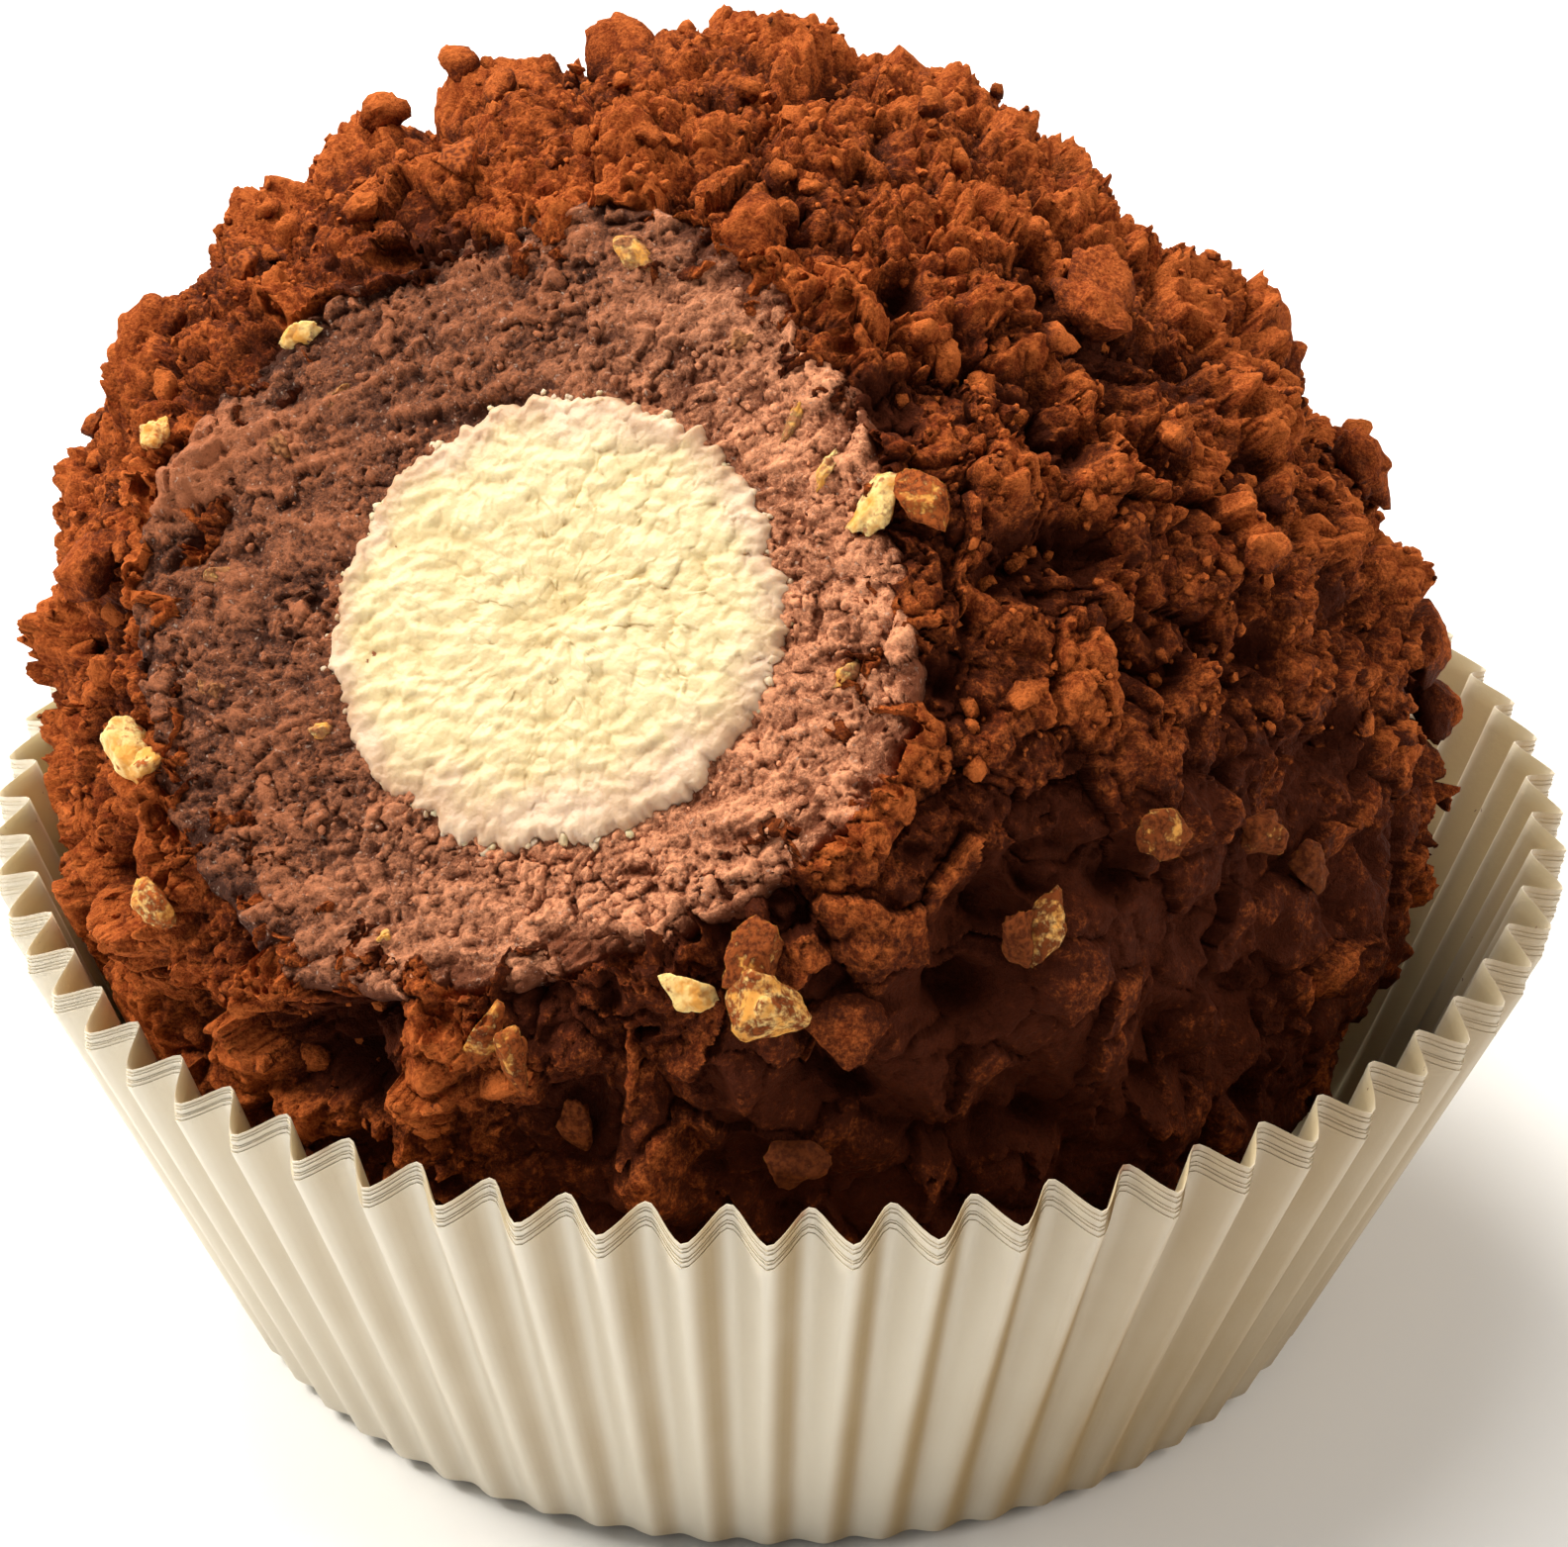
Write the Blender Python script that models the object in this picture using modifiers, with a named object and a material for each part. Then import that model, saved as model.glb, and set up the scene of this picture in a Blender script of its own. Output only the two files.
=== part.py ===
"""A large chocolate truffle with a slice cut off its front, in a stack of nested pleated paper cases.

Metres, +Z up. The origin is the middle of the cases' base, and -Y is the side with the cut.
Directions on the truffle are a longitude from +X towards +Y and a latitude, in degrees, seen from its middle.
"""

import math

import bmesh
import bpy
import numpy as np
from mathutils import Matrix, Vector

MM = 0.001
DEG = math.pi / 180

# Paper cases: two nodes stand for the stack of thin papers, each with its own pleated wall and flat floor.
CASE_BASE_RADIUS = 25.2 * MM
CASE_RIM_RADIUS = 34.3 * MM
CASE_HEIGHT = 21.15 * MM
CASE_WALL = 0.25 * MM
PLEATS = 66
PLEAT_DEPTH_FOOT = 0.35 * MM
PLEAT_DEPTH_RIM = 1.55 * MM
PLEAT_RISE = 0.75 * MM  # how far an inward fold stands above an outward one at the rim
PLEAT_TURN = 2.4  # longitude of the first outward fold, in degrees
FOOT_BEND = 0.7 * MM
INNER_CASE_RISE = 1.4 * MM
INNER_CASE_INSET = 0.15 * MM
RIM_MARGIN = 2.0 * MM  # the truffle stays within the wall's slope this far above the rim

# Truffle
TRUFFLE_RADIUS = 28.1 * MM  # to the bottom of the crags
TRUFFLE_CENTRE = Vector((-2.6 * MM, 0.0, 24.2 * MM))
TRUFFLE_GRID = 25  # quads along one of the six sides of the cube that is blown up into the ball
CRAG_HEIGHT = 3.5 * MM
CLEARANCE = 0.3 * MM

# Cut: a plane across the front of the ball, and the cream core that it opens
CUT_LONGITUDE = -114.0
CUT_LATITUDE = 41.0
CUT_DISTANCE = 24.85 * MM
CORE_RADIUS = 11.2 * MM
CORE_DISC_RADIUS = 9.1 * MM
CORE_ACROSS = 1.95 * MM
CORE_UP = -0.5 * MM
CORE_UNEVEN = 0.35 * MM

# Swellings and flats of the ball's outline: longitude, latitude, height in mm, and half width in degrees.
SWELLINGS = (
    (170, 35, 1.2, 14),
    (43, 61, 1.0, 12),
    (93, 69, 0.9, 16),
    (23, 48, -1.3, 20),
    (-7, 4, 1.1, 16),
    (-173, 6, -1.0, 18),
    (6, 27, 0.5, 10),
    (-62, 7, 0.6, 18),
    (75, 20, 0.8, 22),
    (130, 5, -0.6, 20),
    (15, 39, 1.0, 6),
    (24, 48, -0.5, 6),
    (148, 54.5, -1.2, 7),
    (158, 46.7, 0.6, 4),
)

# Hazelnut chips that can be told apart: longitude, latitude, and length, width and thickness in mm.
NUT_CHIPS = (
    (-145.3, 17.6, 2.7, 1.8, 1.5),
    (-142.5, 17.5, 2.0, 1.5, 1.2),
    (-136.5, 9.1, 2.4, 1.7, 1.3),
    (-106.8, 6.8, 2.9, 1.1, 1.1),
    (-104.1, 6.6, 2.7, 1.2, 1.1),
    (-87.0, 15.5, 2.8, 2.1, 1.8),
    (-92.0, 13.0, 2.3, 1.2, 1.0),
    (-86.0, 12.0, 2.9, 2.5, 1.6),
    (-68.0, 47.0, 2.7, 1.9, 1.5),
    (-161.1, 38.0, 1.9, 1.4, 1.2),
    (-64.3, 14.4, 3.0, 1.3, 1.1),
    (-42.0, 14.7, 2.2, 1.8, 1.4),
    (-53.6, 19.3, 2.3, 1.8, 1.2),
    (-36.2, 9.5, 2.2, 1.6, 1.3),
)

# Loose lumps of coat that stand well out: longitude, latitude, and length, width and thickness in mm.
COAT_LUMPS = (
    (116.1, 71.8, 4.2, 3.0, 3.2),
    (53.4, 64.2, 4.4, 3.2, 3.4),
    (-81.5, 73.5, 3.6, 2.6, 2.4),
    (-64.0, 56.0, 3.8, 2.2, 2.2),
    (-16.0, 56.8, 4.2, 3.0, 2.6),
    (-140.4, 11.5, 3.6, 2.2, 2.0),
    (13.5, 37.4, 3.4, 3.0, 2.4),
    (5.5, 25.5, 4.0, 3.0, 2.4),
    (-2.4, 11.9, 3.6, 2.6, 2.2),
)
SCATTERED_CHIPS = 26
SCATTERED_LUMPS = 20
CHIP_SIZES_MM = (2.4, 1.7, 1.3)
LUMP_SIZES_MM = (3.8, 2.8, 2.4)
CHIP_SINK = 0.05  # how far a bit's middle lies under the surface, as a share of its thickness
LUMP_SINK = 0.15
SEED = 7

COCOA_COLOUR = (0.115, 0.034, 0.012, 1.0)
CREAM_COLOUR = (0.80, 0.70, 0.42, 1.0)
PAPER_COLOUR = (0.80, 0.72, 0.58, 1.0)


def direction(longitude, latitude):
    """The unit vector at a longitude and a latitude in degrees."""
    flat = math.cos(latitude * DEG)
    return Vector((flat * math.cos(longitude * DEG), flat * math.sin(longitude * DEG), math.sin(latitude * DEG)))


CUT_NORMAL = direction(CUT_LONGITUDE, CUT_LATITUDE)
FACE_ACROSS = Vector((0, 0, 1)).cross(CUT_NORMAL).normalized()
FACE_UP = CUT_NORMAL.cross(FACE_ACROSS)
FACE_CENTRE = TRUFFLE_CENTRE + CUT_NORMAL * CUT_DISTANCE
CORE_FACE = FACE_CENTRE + FACE_ACROSS * CORE_ACROSS + FACE_UP * CORE_UP
CORE_CENTRE = CORE_FACE - CUT_NORMAL * math.sqrt(CORE_RADIUS**2 - CORE_DISC_RADIUS**2)
INNER_FLOOR = INNER_CASE_RISE + CASE_WALL


def hashed(cell, seed):
    """A repeatable whole number below 2**32 for each cell of the integer lattice."""
    x, y, z = (cell[..., i].astype(np.int64).astype(np.uint32) for i in range(3))
    mixed = x * np.uint32(0x8DA6B343) + y * np.uint32(0xD8163841) + z * np.uint32(0xCB1AB31F)
    mixed = mixed + np.uint32(seed * 0x9E3779B1 % 2**32)
    for shift, factor in ((15, 0x2C1B3C6D), (12, 0x297A2D39)):
        mixed = (mixed ^ (mixed >> np.uint32(shift))) * np.uint32(factor)
    return mixed ^ (mixed >> np.uint32(15))


def lattice_vector(cell, seed):
    """Three repeatable numbers from -1 to 1 for each cell: ten bits of its hash apiece."""
    bits = hashed(cell, seed)
    parts = [(bits >> np.uint32(10 * i)) & np.uint32(1023) for i in range(3)]
    return np.stack(parts, axis=-1) / 511.5 - 1


def smooth_noise(points, seed):
    """Gradient noise: at each lattice corner a slope, blended by a smooth curve. About -0.8 to 0.8."""
    cell = np.floor(points)
    part = points - cell
    fade = part**3 * (part * (part * 6 - 15) + 10)
    total = np.zeros(len(points))
    for corner in np.ndindex(2, 2, 2):
        step = np.array(corner, float)
        weight = np.prod(np.where(step == 1, fade, 1 - fade), axis=-1)
        total += weight * np.sum(lattice_vector(cell + step, seed) * (part - step), axis=-1)
    return total


def lump_noise(points, seed):
    """Distance to the nearest of one scattered point a cell, so 1 minus its square is a field of round lumps."""
    cell = np.floor(points)
    nearest = np.full(len(points), 9.0)
    for corner in np.ndindex(3, 3, 3):
        place = cell + (np.array(corner) - 1)
        spot = place + 0.5 + 0.45 * lattice_vector(place, seed)
        nearest = np.minimum(nearest, np.linalg.norm(points - spot, axis=-1))
    return nearest


def crags(points_mm):
    """Relief of the coat, about 0 to 1: warped lumps of two sizes, with sharp creases where noise crosses zero."""
    warp = np.stack([smooth_noise(points_mm / 6.5, seed) for seed in (11, 12, 13)], axis=-1)
    warped = points_mm + 2.6 * warp
    coarse = 1 - np.minimum(lump_noise(warped / 7.5, 21), 1) ** 2
    medium = 1 - np.minimum(lump_noise(warped / 4.2, 22), 1) ** 2
    creases = np.abs(smooth_noise(warped / 5.5, 23)) / 0.45
    return np.clip(0.42 * coarse + 0.34 * medium + 0.46 * creases - 0.16, 0, 1.2)


def wall_limit(height):
    """Radius that the pleats leave free inside the inner case at each height; above the rim it opens quickly."""
    own = height - INNER_CASE_RISE
    slope = (CASE_RIM_RADIUS - CASE_BASE_RADIUS) / CASE_HEIGHT
    outward = CASE_BASE_RADIUS - INNER_CASE_INSET + slope * own
    depth = PLEAT_DEPTH_FOOT + (PLEAT_DEPTH_RIM - PLEAT_DEPTH_FOOT) * np.clip(own / CASE_HEIGHT, 0, 1)
    above = np.maximum(own - CASE_HEIGHT - PLEAT_RISE - RIM_MARGIN, 0)
    return outward - depth - 1.5 * CASE_WALL - CLEARANCE + 1.5 * above


def truffle_surface(ways):
    """Points of the coat for unit vectors: radius, swellings and crags, then pressed in softly by the case."""
    ways = np.asarray(ways, float)
    radius = np.full(len(ways), TRUFFLE_RADIUS)
    for longitude, latitude, height, width in SWELLINGS:
        cosine = ways @ np.array(direction(longitude, latitude))
        radius += height * MM * np.exp((cosine - 1) / (width * DEG) ** 2)
    radius += CRAG_HEIGHT * crags(ways * TRUFFLE_RADIUS / MM)
    points = np.array(TRUFFLE_CENTRE) + ways * radius[:, None]
    reach = np.hypot(points[:, 0], points[:, 1])
    softness = 0.35 * MM
    room = (wall_limit(points[:, 2]) - reach) / softness
    pressed = reach + softness * (room - np.logaddexp(0, room))
    points[:, :2] *= (pressed / np.maximum(reach, MM))[:, None]
    return points


def new_material(name, colour, roughness):
    material = bpy.data.materials.new(name)
    material.use_nodes = True
    shader = material.node_tree.nodes["Principled BSDF"]
    shader.inputs["Base Color"].default_value = colour
    shader.inputs["Roughness"].default_value = roughness
    shader.inputs["Metallic"].default_value = 0.0
    return material


def new_object(name, bm, collection, material=None):
    """An object from a bmesh, with the material on all its faces."""
    mesh = bpy.data.meshes.new(name)
    bm.to_mesh(mesh)
    bm.free()
    obj = bpy.data.objects.new(name, mesh)
    collection.objects.link(obj)
    if material:
        mesh.materials.append(material)
    return obj


def new_collection(name):
    collection = bpy.data.collections.new(name)
    bpy.context.scene.collection.children.link(collection)
    return collection


def ball_mesh(grid):
    """A cube with each side a grid, blown up to a unit ball: even quads, closed, facing out."""
    bm = bmesh.new()
    bmesh.ops.create_cube(bm, size=2.0)
    bmesh.ops.subdivide_edges(bm, edges=bm.edges[:], cuts=grid - 1, use_grid_fill=True)
    for vertex in bm.verts:
        spread = Vector(math.tan(c * math.pi / 4) for c in vertex.co)
        vertex.co = spread.normalized()
    return bm


def set_points(bm, points):
    for vertex, point in zip(bm.verts, points):
        vertex.co = Vector(point)


def add_boolean(obj, operation, other=None, collection=None):
    modifier = obj.modifiers.new(operation.lower(), "BOOLEAN")
    modifier.operation = operation
    modifier.solver = "EXACT"
    if collection:
        modifier.operand_type = "COLLECTION"
        modifier.collection = collection
    else:
        modifier.object = other


def apply_modifiers(obj):
    """Replaces the object's mesh with what its modifiers make."""
    graph = bpy.context.evaluated_depsgraph_get()
    mesh = bpy.data.meshes.new_from_object(obj.evaluated_get(graph))
    obj.modifiers.clear()
    obj.data = mesh


def shade(obj):
    obj.data.shade_smooth()
    obj.data.set_sharp_from_angle(angle=40 * DEG)


def slice_cutter(collection):
    """The block beyond the cut, its near face on the cut's plane."""
    bm = bmesh.new()
    size = 4 * TRUFFLE_RADIUS
    bmesh.ops.create_cube(bm, size=size)
    turn = CUT_NORMAL.to_track_quat("Z", "Y").to_matrix().to_4x4()
    place = Matrix.Translation(FACE_CENTRE + CUT_NORMAL * (size / 2)) @ turn
    bmesh.ops.transform(bm, matrix=place, verts=bm.verts)
    return cutter(new_object("slice_cutter", bm, collection))


def floor_cutter(collection):
    """The block below the truffle's flat foot."""
    bm = bmesh.new()
    size = 4 * TRUFFLE_RADIUS
    bmesh.ops.create_cube(bm, size=size)
    top = INNER_FLOOR + CLEARANCE
    bmesh.ops.translate(bm, vec=(0, 0, top - size / 2), verts=bm.verts)
    return cutter(new_object("floor_cutter", bm, collection))


def cutter(obj):
    obj.hide_render = True
    obj.display_type = "WIRE"
    return obj


def core_ball(name, shrink, collection, material=None):
    """The cream core's ball, slightly uneven, smaller by shrink all round."""
    bm = bmesh.new()
    bmesh.ops.create_icosphere(bm, subdivisions=4, radius=1.0)
    ways = np.array([vertex.co for vertex in bm.verts])
    radius = CORE_RADIUS + CORE_UNEVEN * smooth_noise(ways * 3, 31) - shrink
    set_points(bm, np.array(CORE_CENTRE) + ways * radius[:, None])
    return new_object(name, bm, collection, material)


def chip(name, way, sizes_mm, sink, turn, squash, collection):
    """A broken bit with twenty flat sides, half sunk in the coat with its flat side along the surface."""
    bm = bmesh.new()
    bmesh.ops.create_icosphere(bm, subdivisions=1, radius=0.5)
    for vertex, push in zip(bm.verts, squash):
        vertex.co *= push
    length, width, thickness = (size * MM for size in sizes_mm)
    bmesh.ops.scale(bm, vec=(length, width, thickness), verts=bm.verts)
    surface = Vector(truffle_surface([way])[0])
    upright = way.to_track_quat("Z", "Y").to_matrix().to_4x4()
    place = Matrix.Translation(surface - way * (thickness * sink)) @ upright @ Matrix.Rotation(turn, 4, "Z")
    bmesh.ops.transform(bm, matrix=place, verts=bm.verts)
    return new_object(name, bm, collection)


def fits(way, size_mm):
    """Whether a bit there is clear of the cut, the floor and the case."""
    point = Vector(truffle_surface([way])[0])
    margin = 0.5 * size_mm * MM
    before_cut = (point - TRUFFLE_CENTRE).dot(CUT_NORMAL) < CUT_DISTANCE - 0.2 * MM
    inside = math.hypot(point.x, point.y) + margin < float(wall_limit(np.array(point.z - margin)))
    return before_cut and inside and point.z > INNER_FLOOR + 4 * margin


def add_bits(collection):
    """The bits that can be told apart, then scattered ones by a seeded draw, wherever they fit."""
    rng = np.random.default_rng(SEED)
    listed = [(row, CHIP_SINK) for row in NUT_CHIPS] + [(row, LUMP_SINK) for row in COAT_LUMPS]
    wanted = [(direction(*row[:2]), row[2:], sink) for row, sink in listed]
    scatter = ((SCATTERED_CHIPS, CHIP_SIZES_MM, CHIP_SINK), (SCATTERED_LUMPS, LUMP_SIZES_MM, LUMP_SINK))
    for count, sizes, sink in scatter:
        for _ in range(count):
            way = Vector(rng.normal(size=3)).normalized()
            wanted.append((way, tuple(size * rng.uniform(0.75, 1.15) for size in sizes), sink))
    for number, (way, sizes, sink) in enumerate(wanted):
        turn = rng.uniform(0, math.pi)
        squash = rng.uniform(0.8, 1.12, 12)
        if fits(way, sizes[0]):
            chip(f"bit_{number}", way, sizes, sink, turn, squash, collection)


def make_truffle(parts, cutters):
    """The chocolate ball with its crags, the bits fused on, then the slice, the floor and the core cut away."""
    bm = ball_mesh(TRUFFLE_GRID)
    set_points(bm, truffle_surface([vertex.co for vertex in bm.verts]))
    body = new_object("chocolate_body", bm, parts, new_material("cocoa_coat", COCOA_COLOUR, 0.9))
    bits = new_collection("truffle_bits")
    add_bits(bits)
    add_boolean(body, "UNION", collection=bits)
    apply_modifiers(body)
    for obj in list(bits.objects):
        bpy.data.objects.remove(obj)
    bpy.data.collections.remove(bits)
    pocket = cutter(core_ball("core_cutter", 0.0, cutters))
    for tool in (slice_cutter(cutters), floor_cutter(cutters), pocket):
        add_boolean(body, "DIFFERENCE", tool)
    shade(body)


def make_core(parts, cutters):
    """The pale cream core, cut flush with the chocolate."""
    core = core_ball("cream_core", CLEARANCE, parts, new_material("cream", CREAM_COLOUR, 0.6))
    add_boolean(core, "DIFFERENCE", cutters.objects["slice_cutter"])
    shade(core)


def pleated_ring(height_share, rise, inset):
    """Radius and height of each corner of one ring of the wall: outward folds and inward folds in turn."""
    depth = PLEAT_DEPTH_FOOT + (PLEAT_DEPTH_RIM - PLEAT_DEPTH_FOOT) * height_share
    outward = CASE_BASE_RADIUS + (CASE_RIM_RADIUS - CASE_BASE_RADIUS) * height_share - inset
    points = []
    for corner in range(2 * PLEATS):
        inward = corner % 2
        angle = math.pi * corner / PLEATS + PLEAT_TURN * DEG
        radius = outward - depth * inward
        height = CASE_HEIGHT * height_share + PLEAT_RISE * inward * height_share**2 + rise
        points.append((radius * math.cos(angle), radius * math.sin(angle), height))
    return points


def make_case(name, rise, inset, parts, material):
    """A flat floor, a foot bend and a pleated wall, drawn up ring by ring, then the paper's thickness inwards."""
    bm = bmesh.new()
    bmesh.ops.create_circle(bm, cap_ends=True, cap_tris=True, segments=2 * PLEATS, radius=CASE_BASE_RADIUS)
    foot = pleated_ring(0.0, rise, inset + FOOT_BEND)
    ring = sorted((v for v in bm.verts if v.is_boundary), key=lambda v: math.atan2(v.co.y, v.co.x) % math.tau)
    for vertex in bm.verts:
        vertex.co.z = rise
    for vertex, point in zip(ring, foot):
        vertex.co = point
    for face in bm.faces:
        face.normal_update()
        if face.normal.z > 0:
            face.normal_flip()
    rings = [pleated_ring(share, rise, inset) for share in (FOOT_BEND / CASE_HEIGHT, 1.0)]
    edges = [edge for edge in bm.edges if edge.is_boundary]
    for points in rings:
        before = ring
        grown = bmesh.ops.extrude_edge_only(bm, edges=edges)["geom"]
        fresh = {v for v in grown if isinstance(v, bmesh.types.BMVert)}
        edges = [e for e in grown if isinstance(e, bmesh.types.BMEdge) and e.is_boundary]
        ring = [next(e.other_vert(v) for e in v.link_edges if e.other_vert(v) in fresh) for v in before]
        for vertex, point in zip(ring, points):
            vertex.co = point
    bmesh.ops.recalc_face_normals(bm, faces=bm.faces)
    case = new_object(name, bm, parts, material)
    wall = case.modifiers.new("paper", "SOLIDIFY")
    wall.thickness = CASE_WALL
    wall.offset = -1.0
    wall.use_even_offset = True
    shade(case)


def main():
    for obj in list(bpy.data.objects):
        bpy.data.objects.remove(obj)
    parts = new_collection("chocolate_truffle")
    cutters = new_collection("cutters")
    make_truffle(parts, cutters)
    make_core(parts, cutters)
    paper = new_material("paper", PAPER_COLOUR, 0.6)
    make_case("paper_case_outer", 0.0, 0.0, parts, paper)
    make_case("paper_case_inner", INNER_CASE_RISE, INNER_CASE_INSET, parts, paper)


main()
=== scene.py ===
"""Looks of a large chocolate truffle with a slice cut off its front, in a stack of pleated paper cases.

Lengths are in millimetres until a mesh is made. A way is a unit direction from the truffle's middle. Spots
on the truffle are a longitude from +X towards +Y and a latitude, in degrees. The cut has its own axes:
across, up and out of its face, from the middle of the face.
"""
import math

import bpy
import numpy as np
from mathutils import Matrix, Vector


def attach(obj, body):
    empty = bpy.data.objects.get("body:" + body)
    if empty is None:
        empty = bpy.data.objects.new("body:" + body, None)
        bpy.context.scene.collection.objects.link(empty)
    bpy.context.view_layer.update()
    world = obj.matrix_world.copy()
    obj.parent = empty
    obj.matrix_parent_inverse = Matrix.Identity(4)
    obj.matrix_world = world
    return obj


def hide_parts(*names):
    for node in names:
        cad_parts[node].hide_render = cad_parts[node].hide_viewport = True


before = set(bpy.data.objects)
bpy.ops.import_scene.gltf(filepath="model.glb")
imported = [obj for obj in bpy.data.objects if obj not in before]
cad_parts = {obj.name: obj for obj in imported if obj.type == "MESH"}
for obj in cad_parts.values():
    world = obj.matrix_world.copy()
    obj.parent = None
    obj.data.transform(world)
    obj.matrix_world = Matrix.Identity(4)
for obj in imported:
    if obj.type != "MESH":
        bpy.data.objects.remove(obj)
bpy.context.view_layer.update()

MM = 0.001
DEG = math.pi / 180

# The solids' own sizes
CASE_BASE_RADIUS = 25.2
CASE_RIM_RADIUS = 34.3
CASE_HEIGHT = 21.15
CASE_WALL = 0.25
PLEATS = 66
PLEAT_DEPTH_FOOT = 0.35
PLEAT_DEPTH_RIM = 1.55
PLEAT_RISE = 0.75
PLEAT_TURN = 2.4
FOOT_BEND = 0.7
INNER_CASE_RISE = 1.4
INNER_CASE_INSET = 0.15
RIM_MARGIN = 2.0
TRUFFLE_RADIUS = 28.1
TRUFFLE_CENTRE = np.array([-2.6, 0.0, 24.2])
CRAG_HEIGHT = 3.5
CLEARANCE = 0.3
FOOT = 1.95
CUT_LONGITUDE = -114.0
CUT_LATITUDE = 41.0
CUT_DISTANCE = 24.85
CORE_RADIUS = 11.2
CORE_DISC_RADIUS = 9.1
CORE_ACROSS = 1.95
CORE_UP = -0.5

# Swellings and flats of the ball's outline: longitude, latitude, height, and half width in degrees.
SWELLINGS = (
    (170, 35, 1.2, 14),
    (43, 61, 1.0, 12),
    (93, 69, 0.9, 16),
    (23, 48, -1.3, 20),
    (-7, 4, 1.1, 16),
    (-173, 6, -1.0, 18),
    (6, 27, 0.5, 10),
    (-62, 7, 0.6, 18),
    (75, 20, 0.8, 22),
    (130, 5, -0.6, 20),
    (15, 39, 1.0, 6),
    (24, 48, -0.5, 6),
    (148, 54.5, -1.2, 7),
    (158, 46.7, 0.6, 4),
)

# Hazelnut chips and loose lumps of coat: longitude, latitude, length, width and thickness.
NUT_CHIPS = (
    (-145.3, 17.6, 2.7, 1.8, 1.5),
    (-142.5, 17.5, 2.0, 1.5, 1.2),
    (-136.5, 9.1, 2.4, 1.7, 1.3),
    (-106.8, 6.8, 2.9, 1.1, 1.1),
    (-104.1, 6.6, 2.7, 1.2, 1.1),
    (-87.0, 15.5, 2.8, 2.1, 1.8),
    (-92.0, 13.0, 2.3, 1.2, 1.0),
    (-86.0, 12.0, 2.9, 2.5, 1.6),
    (-68.0, 47.0, 2.7, 1.9, 1.5),
    (-161.1, 38.0, 1.9, 1.4, 1.2),
    (-64.3, 14.4, 3.0, 1.3, 1.1),
    (-42.0, 14.7, 2.2, 1.8, 1.4),
    (-53.6, 19.3, 2.3, 1.8, 1.2),
    (-36.2, 9.5, 2.2, 1.6, 1.3),
)
COAT_LUMPS = (
    (116.1, 71.8, 4.2, 3.0, 3.2),
    (53.4, 64.2, 4.4, 3.2, 3.4),
    (-81.5, 73.5, 3.6, 2.6, 2.4),
    (-64.0, 56.0, 3.8, 2.2, 2.2),
    (-16.0, 56.8, 4.2, 3.0, 2.6),
    (-140.4, 11.5, 3.6, 2.2, 2.0),
    (13.5, 37.4, 3.4, 3.0, 2.4),
    (5.5, 25.5, 4.0, 3.0, 2.4),
    (-2.4, 11.9, 3.6, 2.6, 2.2),
)
SCATTERED_CHIPS = 26
SCATTERED_LUMPS = 20
CHIP_SIZES = (2.4, 1.7, 1.3)
LUMP_SIZES = (3.8, 2.8, 2.4)
CHIP_SINK = 0.05
LUMP_SINK = 0.15
SEED = 7

# How much cocoa covers each of the listed chips, from 0 to 1.
CHIP_DUST = (0.15, 0.3, 0.45, 0.5, 0.6, 0.62, 0.12, 0.42, 0.6, 0.35, 0.5, 0.72, 0.6, 0.8)

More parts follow.
